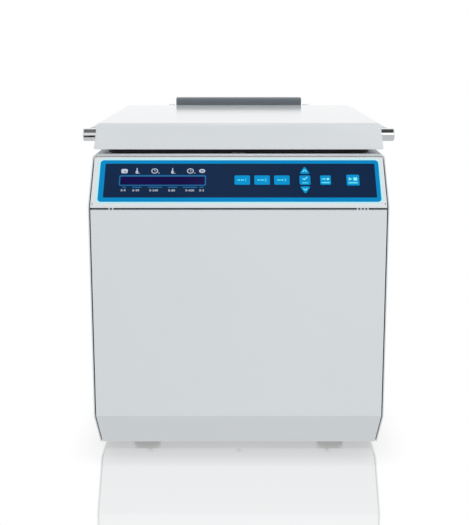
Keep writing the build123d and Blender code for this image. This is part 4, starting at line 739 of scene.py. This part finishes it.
@dataclass
class Keypad:
    """Printed film, display pane, keys and their symbols on the sloped panel."""

    border: Sides = (-188 * MM, 190 * MM, 6.5 * MM, 77 * MM)
    border_r: float = 5 * MM
    # The pale rim round the border, with its width and its share of the film's thickness, is a painted
    # highlight of the film's edge catching light.
    rim: float = 2.4 * MM
    highlight_share: float = 0.6
    field: Sides = (-181 * MM, 184.5 * MM, 13.5 * MM, 71 * MM)
    field_r: float = 1.5 * MM
    window: Sides = (-161.6 * MM, -43.5 * MM, 32.8 * MM, 51.8 * MM)
    window_r: float = 2.5 * MM
    frame_w: float = 1.7 * MM
    frame_edge: float = 0.4 * MM
    frame_top: float = 0.9 * MM
    frame_r: float = 1.3 * MM
    key_gap: float = 0.3 * MM
    key_r: float = 1.6 * MM
    row_s: float = 42.6 * MM
    row_h: float = 15.5 * MM
    program_w: float = 20.9 * MM
    program_x: tuple[float, ...] = (4.8 * MM, 31.5 * MM, 58.1 * MM)
    program_caps: tuple[Body, ...] = (Body.KEY_1, Body.KEY_2, Body.KEY_3)
    arrow_x: float = 89.2 * MM
    arrow_w: float = 14.6 * MM
    arrow_h: float = 12.8 * MM
    arrow_gap: float = 3.0 * MM
    arrow_r: float = 1.6 * MM
    arrow_spread: Triple = (1.5, 1.6, 2.0)
    recall_x: float = 116.9 * MM
    recall_w: float = 14.3 * MM
    start_x: float = 153.8 * MM
    start_w: float = 17.1 * MM
    start_h: float = 18.0 * MM
    figure_x: float = 4.6 * MM
    figure_h: float = 4.4 * MM
    dash_x: tuple[tuple[float, float], ...] = ((-6.2 * MM, -2.7 * MM), (-1.8 * MM, 2.2 * MM))
    dash_h: float = 1.9 * MM
    dash_r: float = 0.45 * MM
    figure_swell: float = 0.03 * MM
    digit_share: float = 0.68
    chevron_up: float = 5.9 * MM
    ink: float = 0.05 * MM
    symbol_s: float = 58.4 * MM
    symbol_x: tuple[float, ...] = (
        -154.6 * MM, -137.7 * MM, -113.7 * MM, -89.6 * MM, -65.4 * MM, -49.5 * MM)
    label_s: float = 25.3 * MM
    label_h: float = 3.5 * MM
    labels: tuple[str, ...] = ("0-9", "0-99", "0-240", "0-80", "0-600", "0-5")
    tick_s: tuple[float, float] = (29.9 * MM, 31.6 * MM)
    tick_r: float = 0.5 * MM
    tick_x_mm: tuple[tuple[float, float], ...] = (
        (-156.1, -151.3), (-142.8, -130.5), (-121.8, -102.7),
        (-95.1, -82.2), (-75.2, -55.5), (-52.7, -47.2))

    def key_box(self, x: float, width: float, height: float, grow: float) -> Loop:
        """Outline of a rectangular key, grown by a clearance."""
        half_w, low = width / 2 + grow, self.row_s - height / 2 - grow
        return round_box(x - half_w, x + half_w, low, low + height + 2 * grow, self.key_r + grow)

    def arrow(self, way: int, grow: float) -> Loop:
        """Outline of an arrow key.

        Args:
            way: 1 for the up key, -1 for the down key.
            grow: Clearance round it.

        Returns:
            The points.
        """
        at_sides, at_tip, at_corners = self.arrow_spread
        foot = self.row_h / 2 + self.arrow_gap
        base = self.row_s + way * (foot - grow)
        tip = self.row_s + way * (foot + self.arrow_h + at_tip * grow)
        half = self.arrow_w / 2 + at_sides * grow
        corners = [(self.arrow_x - half, base), (self.arrow_x + half, base), (self.arrow_x, tip)]
        return softened(corners[::way], self.arrow_r + at_corners * grow)

    def key_loops(self, grow: float) -> list[Loop]:
        """Outlines of all eight keys.

        Args:
            grow: Clearance round each.

        Returns:
            One loop for each key.
        """
        boxes = [(x, self.program_w, self.row_h) for x in self.program_x]
        boxes += [(self.arrow_x, self.arrow_w, self.row_h), (self.recall_x, self.recall_w, self.row_h),
                  (self.start_x, self.start_w, self.start_h)]
        return [self.key_box(*box, grow) for box in boxes] + [self.arrow(1, grow), self.arrow(-1, grow)]

    def film(self) -> None:
        """Lay the blue border and the navy field, open at the pane and the keys, and a pale cyan rim round
        the border that is a painted highlight of the film's edge catching light.
        """
        place = PANEL.place(0, 0, 0)
        outer = round_box(*self.border, self.border_r, 8)
        inner = round_box(*self.field, self.field_r, 4)
        border = flat_plate("film_border", [outer, inner], PANEL.film, place)
        x0, x1, s0, s1 = self.border
        # Pale cyan rim outside the border: painted highlight of the film's edge catching light.
        wide = round_box(x0 - self.rim, x1 + self.rim, s0 - self.rim, s1 + self.rim,
                         self.border_r + self.rim, 8)
        rim = flat_plate("film_highlight_rim", [wide, outer], self.highlight_share * PANEL.film, place)
        own(rim, Body.CABINET, FILM_EDGE_HIGHLIGHT)
        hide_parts("keypad_overlay")
        own(border, Body.CABINET, FILM_BLUE)
        holes = [round_box(*self.window, self.window_r)] + self.key_loops(self.key_gap)
        navy = flat_plate("film_field", [inner] + holes, PANEL.film, place)
        own(navy, Body.CABINET, FILM_NAVY)

    def print_on(self, name: str, loops: list[Loop], level: float, body: Body, ink: Finish) -> None:
        """Print one shape, with its holes, as a thin layer of ink.

        Args:
            name: Name of the piece.
            loops: Outer loop and holes, in panel coordinates.
            level: Height of the surface that it lies on.
            body: Body that it rides on.
            ink: Its finish.
        """
        own(flat_plate(name, loops, self.ink, PANEL.place(0, 0, level)), body, ink)

    def stamp(self, marks: tuple[Mark, ...], x: float, s: float, level: float, start: str = "") -> None:
        """Print some marks round one middle.

        Args:
            marks: The marks.
            x: Their middle, across.
            s: Their middle, up the slope.
            level: Height of the surface that they lie on.
            start: Start of their names.
        """
        for mark in marks:
            self.print_on(start + mark.name, mark.at(x, s), level, mark.body, mark.ink)

    def pane(self) -> None:
        """Print the pane's frame and finish the pane."""
        x0, x1, s0, s1 = self.window
        edge, width = self.frame_edge, self.frame_edge + self.frame_w
        outer = round_box(x0 + edge, x1 - edge, s0 + edge, s1 - edge, self.window_r)
        inner = round_box(x0 + width, x1 - width, s0 + width, s1 - width - self.frame_top, self.frame_r)
        self.print_on("pane_frame", [outer, inner], PANEL.film, Body.CABINET, FRAME_CYAN)
        dress_packed({DISPLAY_DARK: ("display_window",)})

    def symbols(self) -> None:
        """Print the row of symbols over the pane: card, heat signs, clocks and eye."""
        card, heat_a, time_a, heat_b, time_b, eye = self.symbol_x
        for name, marks, x in (("card", CARD, card), ("heat_a", HEAT, heat_a), ("heat_b", HEAT, heat_b),
                               ("time_a", CLOCK, time_a), ("time_b", CLOCK, time_b), ("eye", EYE, eye)):
            self.stamp(marks, x, self.symbol_s, PANEL.film, f"symbol_{name}")

    def scale_marks(self) -> None:
        """Print the cyan ticks and the plain numbers under the pane."""
        for number, (x0, x1) in enumerate(self.tick_x_mm, start=1):
            bar = round_box(x0 * MM, x1 * MM, *self.tick_s, self.tick_r, 3)
            self.print_on(f"pane_tick_{number}", [bar], PANEL.film, Body.CABINET, FRAME_CYAN)
        for number, (x, words) in enumerate(zip(self.symbol_x, self.labels), start=1):
            place = PANEL.place(x, self.label_s, PANEL.film + self.ink / 2)
            self.figures(f"pane_figure_{number}", words, self.label_h, place, Body.CABINET, INK_WHITE)

    def figures(self, name: str, words: str, height: float, place: Matrix, body: Body, ink: Finish) -> None:
        """Print plain numbers.

        Args:
            name: Name of the piece.
            words: Digits to print.
            height: Height of a digit.
            place: Frame on the panel whose origin is their middle.
            body: Body that they ride on.
            ink: Their finish.
        """
        curve = bpy.data.curves.new(name, "FONT")
        curve.body = words
        curve.align_x = "CENTER"
        curve.align_y = "CENTER"
        curve.size = height / self.digit_share
        curve.extrude = self.ink / 2
        curve.offset = self.figure_swell
        curve.resolution_u = 3
        own(link(name, curve_mesh(name, curve), place), body, ink)

    def keys(self) -> None:
        """Finish the keys and print their symbols, which ride on them."""
        top = PANEL.film + PANEL.key_proud
        s = self.row_s
        dress_packed({KEY_BLUE: tuple(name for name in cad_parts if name.startswith("key_"))})
        for number, (x, cap) in enumerate(zip(self.program_x, self.program_caps), start=1):
            place = PANEL.place(x + self.figure_x, s, top + self.ink / 2)
            self.figures(f"figure_program_{number}", str(number), self.figure_h, place, cap, GLYPH_CYAN)
            low, high = s - self.dash_h / 2, s + self.dash_h / 2
            for side, (start, end) in zip("ab", self.dash_x):
                dash = round_box(x + start, x + end, low, high, self.dash_r, 3)
                self.print_on(f"dash_program_{number}{side}", [dash], top, cap, GLYPH_CYAN)
        for name, cap, way in (("chevron_key_up", Body.KEY_UP, 1), ("chevron_key_down", Body.KEY_DOWN, -1)):
            head = s + way * (self.row_h / 2 + self.arrow_gap + self.chevron_up)
            self.stamp((Mark(name, (chevron(way),), cap, GLYPH_CYAN),), self.arrow_x, head, top)
        self.stamp(ENTER_MARKS, self.arrow_x, s, top)
        self.stamp(RECALL_MARKS, self.recall_x, s, top)
        self.stamp(START_MARKS, self.start_x, s, top)

    def build(self) -> None:
        """Make the film, pane, symbols and keys."""
        self.film()
        self.pane()
        self.symbols()
        self.scale_marks()
        self.keys()


@dataclass
class Louvres:
    """Pressed hoods over the air slots of one sheet, with a dust filter behind them."""

    name: str
    place: Matrix
    columns: tuple[float, float]
    low: float
    pad: Sides
    rows: int = 12
    pitch: float = 9 * MM
    slot_w: float = 62 * MM
    hood_h: float = 6.4 * MM
    hood_d: float = 2.6 * MM
    end_r: float = 3.2 * MM
    overlap: float = 1.2 * MM
    foot: float = 0.5 * MM
    clear: float = 0.02 * MM
    sheet_t: float = 0.5 * MM
    spans: tuple[float, ...] = (0.0, 0.25, 0.6, 1.0)
    arc_steps: int = 6
    pad_t: float = 1.6 * MM
    pad_gap: float = 1.9 * MM
    pad_r: float = 3 * MM

    def hood(self, build: bmesh.types.BMesh, x: float, z: float) -> None:
        """Add one hood, open below, whose ends and top run down to the sheet.

        Args:
            build: Mesh under construction.
            x: Middle of the slot.
            z: Lower edge of the slot.
        """
        half = self.slot_w / 2 + self.overlap
        left_end = [(self.end_r * t - half, math.sin(t * math.pi / 2)) for t in self.spans]
        right_end = [(-across, rise) for across, rise in reversed(left_end)]
        rows = []
        for across, rise in left_end + right_end:
            row = []
            for step in range(self.arc_steps + 1):
                turn = math.pi / 2 * step / self.arc_steps
                up = z - self.foot + self.hood_h * math.sin(turn)
                out = self.clear + self.hood_d * rise * math.cos(turn)
                row.append(build.verts.new(self.place @ Vector((x + across, up, out))))
            rows.append(row)
        for left, right in zip(rows, rows[1:]):
            for low in range(self.arc_steps):
                build.faces.new((left[low], right[low], right[low + 1], left[low + 1]))

    def build(self) -> None:
        """Make the hoods and the filter pad."""
        build = bmesh.new()
        for column in self.columns:
            for row in range(self.rows):
                self.hood(build, column, self.low + row * self.pitch)
        hoods = link(self.name, built_mesh(self.name, build))
        thick = hoods.modifiers.new("sheet", "SOLIDIFY")
        thick.thickness = self.sheet_t
        thick.offset = -1
        shade(hoods, 50)
        own(hoods, Body.CABINET, WHITE_COAT)
        depth = Matrix.Translation((0, 0, -self.pad_gap - self.pad_t))
        pad = flat_plate(self.name + "_filter", [round_box(*self.pad, self.pad_r)], self.pad_t,
                         self.place @ depth)
        own(pad, Body.CABINET, FILTER_GREY)


# Bar and ring for the rocker, in millimetres.
BAR = (round_box(-0.45, 0.45, -2.0, 2.0, 0.2, 2),)
RING = (ring_loop(0, 0, 2.1, 2.1, 32), ring_loop(0, 0, 1.4, 1.4, 32))


@dataclass
class Cabinet:
    """Cabinet sheets and everything that they carry inside."""

    half_w: float = 200 * MM
    rear_y: float = 268 * MM
    crest_y: float = -236 * MM
    deck_z: float = 425 * MM
    seal_r: float = 0.4 * MM
    seal_half: float = 196.4 * MM
    seal_sunk: float = 0.1 * MM
    seal_edge: float = 0.3 * MM
    lip_half: float = 196 * MM
    lip_y: tuple[float, float] = (-219.2 * MM, -217.6 * MM)
    lip_h: float = 2.2 * MM
    lip_return: float = 14 * MM
    side_slots: tuple[float, float] = (90 * MM, 170 * MM)
    side_low: float = 80 * MM
    side_pad: Sides = (53 * MM, 207 * MM, 74 * MM, 190 * MM)
    rear_slots: tuple[float, float] = (-142 * MM, -70 * MM)
    rear_low: float = 150 * MM
    rear_pad: Sides = (-178 * MM, -34 * MM, 144 * MM, 260 * MM)
    plate: Sides = (-176 * MM, -106 * MM, 300 * MM, 344 * MM)
    plate_r: float = 2.5 * MM
    plate_t: float = 0.6 * MM
    rivet_inset: float = 4 * MM
    rivet_mm: tuple[tuple[float, float], ...] = ((1.9, 0.6), (1.8, 1.1), (1.2, 1.5), (0.0, 1.6))
    stud: tuple[float, float] = (60 * MM, 62 * MM)
    stud_r: float = 2.1 * MM
    stud_h: float = 8 * MM
    stud_edge: float = 0.5 * MM
    washer_mm: tuple[tuple[float, float], ...] = ((2.2, 0.0), (5.6, 0.0), (5.6, 0.9), (2.2, 1.0))
    nut_mm: tuple[tuple[float, float], ...] = (
        (2.2, 1.0), (4.3, 1.0), (4.5, 1.5), (4.5, 3.6), (4.0, 4.2), (2.2, 4.2))
    rocker_pivot: Triple = (140 * MM, 268 * MM, 78 * MM)
    rocker_rest_deg: float = -8.0
    rocker_slope_deg: float = 11.9
    mark_out: float = 5 * MM
    mark_up: float = 4.75 * MM
    mark_t: float = 0.05 * MM

    def crest_seal(self) -> None:
        """Lay the dark sealing bead in the seam between the bezel's crest and the deck."""
        profile = rounded_profile(self.seal_r, -self.seal_half, self.seal_half, self.seal_edge)
        place = Matrix.Translation((0, self.crest_y, self.deck_z - self.seal_sunk)) @ ALONG_X
        bead = lathe("crest_seal", profile, place, 12)
        own(bead, Body.CABINET, RUBBER_BLACK)

    def deck_lip(self) -> None:
        """Stand the low folded lip on the deck, under the lid's front edge, with a return at each end."""
        (y0, y1), half, back = self.lip_y, self.lip_half, self.lip_return
        thick = y1 - y0
        loop = [(-half, y0), (half, y0), (half, y0 + back), (half - thick, y0 + back), (half - thick, y1),
                (thick - half, y1), (thick - half, y0 + back), (-half, y0 + back)]
        lip = flat_plate("deck_lip", [loop], self.lip_h, Matrix.Translation((0, 0, self.deck_z)))
        own(lip, Body.CABINET, WHITE_COAT)

    def louvres(self) -> None:
        """Dress the air slots of both side panels and the rear panel."""
        low, high, foot, head = self.side_pad
        right = Matrix.Translation((self.half_w, 0, 0)) @ FACING_RIGHT
        Louvres("louvre_hoods_right", right, self.side_slots, self.side_low, self.side_pad).build()
        left = Matrix.Translation((-self.half_w, 0, 0)) @ FACING_LEFT
        slots = (-self.side_slots[1], -self.side_slots[0])
        Louvres("louvre_hoods_left", left, slots, self.side_low, (-high, -low, foot, head)).build()
        rear = Matrix.Translation((0, self.rear_y, 0)) @ FACING_REAR
        Louvres("louvre_hoods_rear", rear, self.rear_slots, self.rear_low, self.rear_pad).build()

    def rear_plate(self) -> None:
        """Rivet the bare plate to the rear panel."""
        flat = Matrix.Translation((0, self.rear_y, 0)) @ REAR_UNTURNED
        plate = flat_plate("rear_plate", [round_box(*self.plate, self.plate_r)], self.plate_t, flat)
        own(plate, Body.CABINET, ALUMINIUM)
        x0, x1, z0, z1 = self.plate
        inset = self.rivet_inset
        left, right, low, high = x0 + inset, x1 - inset, z0 + inset, z1 - inset
        for number, (x, z) in enumerate(((left, low), (right, low), (right, high), (left, high)), start=1):
            place = flat @ Matrix.Translation((x, z, 0))
            head = lathe(f"rear_plate_rivet_{number}", scaled(self.rivet_mm), place, 20)
            own(head, Body.CABINET, ALUMINIUM)

    def earth_stud(self) -> None:
        """Stand the earth stud with its washer and nut on the rear panel."""
        at = Matrix.Translation((0, self.rear_y, 0)) @ REAR_UNTURNED @ Matrix.Translation((*self.stud, 0))
        shank = rounded_profile(self.stud_r, 0.0, self.stud_h, self.stud_edge)
        for name, profile, steps in (("earth_washer", scaled(self.washer_mm), 36),
                                     ("earth_nut", scaled(self.nut_mm), 6), ("earth_stud", shank, 24)):
            piece = lathe(name, profile, at, steps)
            own(piece, Body.CABINET, BRIGHT_STEEL)

    def rocker_marks(self) -> None:
        """Print the bar and the ring, for on and off, on the two halves of the mains rocker."""
        turn = Matrix.Rotation(math.radians(self.rocker_rest_deg), 4, "X")
        pivot = Matrix.Translation(self.rocker_pivot) @ turn
        for name, way, loops in (("mark_on", 1, BAR), ("mark_off", -1, RING)):
            slope = Matrix.Rotation(math.radians(-way * self.rocker_slope_deg), 4, "X")
            place = pivot @ Matrix.Translation((0, self.mark_out, way * self.mark_up)) @ slope @ FACING_REAR
            own(flat_plate(name, [scaled(loop) for loop in loops], self.mark_t, place), Body.ROCKER,
                INK_WHITE)

    def build(self) -> None:
        """Add the cabinet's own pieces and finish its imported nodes."""
        self.crest_seal()
        self.deck_lip()
        self.louvres()
        self.rear_plate()
        self.earth_stud()
        self.rocker_marks()
        dress_packed({
            WHITE_COAT: ("left_side_panel", "right_side_panel", "rear_panel", "control_bezel", "top_deck"),
            # The front panel takes the darker copy of the white coat: painted shade.
            FRONT_COAT_SHADED: ("front_panel",),
            HINGE_GREY: ("hinge_housing",),
            ZINC: ("base_tray", "corner_posts", "motor_bracket", "power_supply", "lock_solenoid"),
            STAINLESS: ("chamber_bowl",),
            BRIGHT_STEEL: ("drive_shaft", "lock_bolt", "hinge_springs", "chassis_screws", "rotor_pillars",
                           "fan_guard"),
            ALUMINIUM: ("rotor_base", "rotor_top_plate", "drive_motor", "condenser", "vacuum_port",
                        "hinge_blocks"),
            RUBBER_BLACK: ("chamber_gasket", "rubber_feet", "compressor_mounts"),
            MOULDED_BLACK: ("fan_housing", "fan_rotor", "power_entry", "switch_rocker", "shaft_seal",
                            "rotor_nut"),
            COPPER: ("cooling_coil", "refrigerant_pipes"),
            BRONZE: ("hinge_bushes",),
            FOAM: ("bowl_insulation",),
            IRON_BLACK: ("compressor",),
            BOARD_GREEN: ("control_board",),
        })


def stage_sheet(name: str, corners: list[tuple[float, ...]]) -> tuple[bpy.types.Object, NodeTree]:
    """Make a sheet for the stage, with a bare material.

    Args:
        name: Name of the sheet.
        corners: Its corners, anticlockwise as its front side is seen.

    Returns:
        The sheet, and its material's nodes: the output alone.
    """
    mesh = bpy.data.meshes.new(name)
    mesh.from_pydata(corners, [], [tuple(range(len(corners)))])
    made = bpy.data.materials.new(name)
    mesh.materials.append(made)
    tree = NodeTree(made)
    tree.nodes.remove(tree.nodes["Principled BSDF"])
    return link(name, mesh), tree


@dataclass(frozen=True)
class Flag:
    """Dark card beside the set that only polished surfaces see, in their reflections.

    Attributes:
        name: Name of the card.
        far: X of its two corners at the front end.
        near: X of its two corners at the rear end.
        deep: Y of its front and rear ends.
        height: Its height.
        tone: How pale it is.
        faces_up: Whether its upper side is the one that shows in reflections.
    """

    name: str
    far: tuple[float, float]
    near: tuple[float, float]
    deep: tuple[float, float]
    height: float
    tone: float
    faces_up: bool = False

    def build(self) -> None:
        """Hang the card and hide it from every ray except reflections."""
        (y0, y1), z = self.deep, self.height
        corners = [(self.far[0], y0, z), (self.far[1], y0, z), (self.near[1], y1, z), (self.near[0], y1, z)]
        card, tree = stage_sheet(self.name, corners if self.faces_up else corners[::-1])
        face = tree.add("Emission", {"Strength": self.tone})
        clear = tree.add("BsdfTransparent")
        side = tree.add("NewGeometry")
        tree.show(tree.mix(side.outputs["Backfacing"], face.outputs["Emission"], clear.outputs["BSDF"]))
        card.visible_camera = False
        card.visible_diffuse = False
        card.visible_transmission = False
        card.visible_volume_scatter = False
        card.visible_shadow = False


@dataclass(frozen=True)
class Lamp:
    """Soft rectangular lamp.

    Attributes:
        name: Name of the lamp.
        at: Its place.
        to: Point that it faces.
        size: Width and height.
        power: Power in watts.
    """

    name: str
    at: Triple
    to: Triple
    size: tuple[float, float]
    power: float

    def build(self) -> None:
        """Hang the lamp and aim it."""
        data = bpy.data.lights.new(self.name, "AREA")
        data.shape = "RECTANGLE"
        data.size, data.size_y = self.size
        data.energy = self.power
        lamp = bpy.data.objects.new(self.name, data)
        aim = (Vector(self.to) - Vector(self.at)).to_track_quat("-Z", "Y")
        lamp.matrix_world = Matrix.Translation(self.at) @ aim.to_matrix().to_4x4()
        bpy.context.scene.collection.objects.link(lamp)


@dataclass
class Studio:
    """Camera, lights, world and floor."""

    camera_at: Triple = (0.0, -1.6876, 0.5799)
    pitch_deg: float = 11.78
    focal_px: float = 1062.0
    frame_w: int = 469
    frame_h: int = 525
    middle_px: float = 238.7
    sensor: float = 36.0
    far_clip: float = 50.0
    sky: Triple = (0.95, 0.985, 1.0)
    sky_strength: float = 0.90
    floor_reach: float = 14.0
    shadow_reach: float = 0.055
    shadow_tone: float = 0.58
    shadow_samples: int = 16
    floor_gloss: float = 0.06
    floor_blend: float = 0.5
    floor_power: float = 2.0
    floor_light: Triple = (0.97, 0.99, 1.0)
    floor_strength: float = 0.74
    lamps: tuple[Lamp, ...] = (
        Lamp("top_box", (0.0, 0.9, 1.7), (0.0, 0.0, 0.4), (1.6, 0.8), 1.0),
        Lamp("front_box", (0.8, -1.8, 1.1), (0.0, -0.2, 0.4), (1.2, 0.6), 3.4),
    )
    flags: tuple[Flag, ...] = (
        Flag("flag_right", (0.10, 0.72), (0.05, 0.60), (-1.20, 0.22), 1.2, 0.08),
        Flag("flag_left", (-0.72, -0.10), (-0.60, -0.05), (-1.20, 0.22), 1.2, 0.20),
        Flag("flag_low", (-1.90, -0.90), (-0.60, -0.05), (-9.0, -0.64), 0.01, 0.02, True),
    )

    def camera(self) -> None:
        """Place the camera where the photograph was taken from."""
        data = bpy.data.cameras.new("camera")
        data.sensor_width = self.sensor
        data.lens = self.focal_px * self.sensor / self.frame_h
        data.shift_x = -(self.middle_px - self.frame_w / 2) / self.frame_h
        data.clip_end = self.far_clip
        seen = bpy.data.objects.new("camera", data)
        turn = Matrix.Rotation(math.radians(90 - self.pitch_deg), 4, "X")
        seen.matrix_world = Matrix.Translation(self.camera_at) @ turn
        bpy.context.scene.collection.objects.link(seen)
        bpy.context.scene.camera = seen

    def world(self) -> None:
        """White for the camera and reflections, softer and cooler for the light."""
        world = bpy.data.worlds.new("studio")
        bpy.context.scene.world = world
        tree = NodeTree(world)
        base = tree.nodes["Background"]
        tree.fill(base, {"Color": (*self.sky, 1), "Strength": self.sky_strength})
        white = tree.add("Background", {"Color": (1, 1, 1, 1), "Strength": 1.0})
        path = tree.add("LightPath")
        sent = base.outputs["Background"]
        for ray in ("Is Camera Ray", "Is Glossy Ray", "Is Transmission Ray"):
            sent = tree.mix(path.outputs[ray], sent, white.outputs["Background"])
        tree.show(sent, "World Output")

    def floor(self) -> None:
        """Pale floor that keeps a faint shadow and reflection of the object."""
        reach = self.floor_reach
        piece, tree = stage_sheet("floor", [(-reach, -reach, 0), (reach, -reach, 0), (reach, reach, 0),
                                            (-reach, reach, 0)])
        shadow = tree.add("AmbientOcclusion", {"Distance": self.shadow_reach})
        shadow.samples = self.shadow_samples
        tone = tree.add("MapRange", {"To Min": self.shadow_tone, "To Max": 1.0})
        tree.join(shadow, "AO", tone, "Value")
        glow = tree.add("Emission")
        tree.join(tone, "Result", glow, "Strength")
        sheen = tree.add("BsdfGlossy", {"Color": (1, 1, 1, 1), "Roughness": self.floor_gloss})
        face = tree.add("LayerWeight", {"Blend": self.floor_blend})
        steep = tree.add("Math", {1: self.floor_power})
        steep.operation = "POWER"
        tree.join(face, "Facing", steep, 0)
        seen = tree.mix(steep.outputs["Value"], glow.outputs["Emission"], sheen.outputs["BSDF"])
        chalk = tree.add("Emission", {"Color": (*self.floor_light, 1), "Strength": self.floor_strength})
        path = tree.add("LightPath")
        tree.show(tree.mix(path.outputs["Is Camera Ray"], chalk.outputs["Emission"], seen))

    def build(self) -> None:
        """Set the view transform and make the studio."""
        bpy.context.scene.view_settings.view_transform = "Standard"
        self.camera()
        self.world()
        self.floor()
        for unit in self.lamps + self.flags:
            unit.build()


def main() -> None:
    """Build the studio and every sub-assembly in order."""
    logging.basicConfig(level=logging.INFO, format="%(name)s %(message)s")
    Studio().build()
    Cabinet().build()
    Keypad().build()
    Lid().build()


if __name__ == "__main__":
    main()
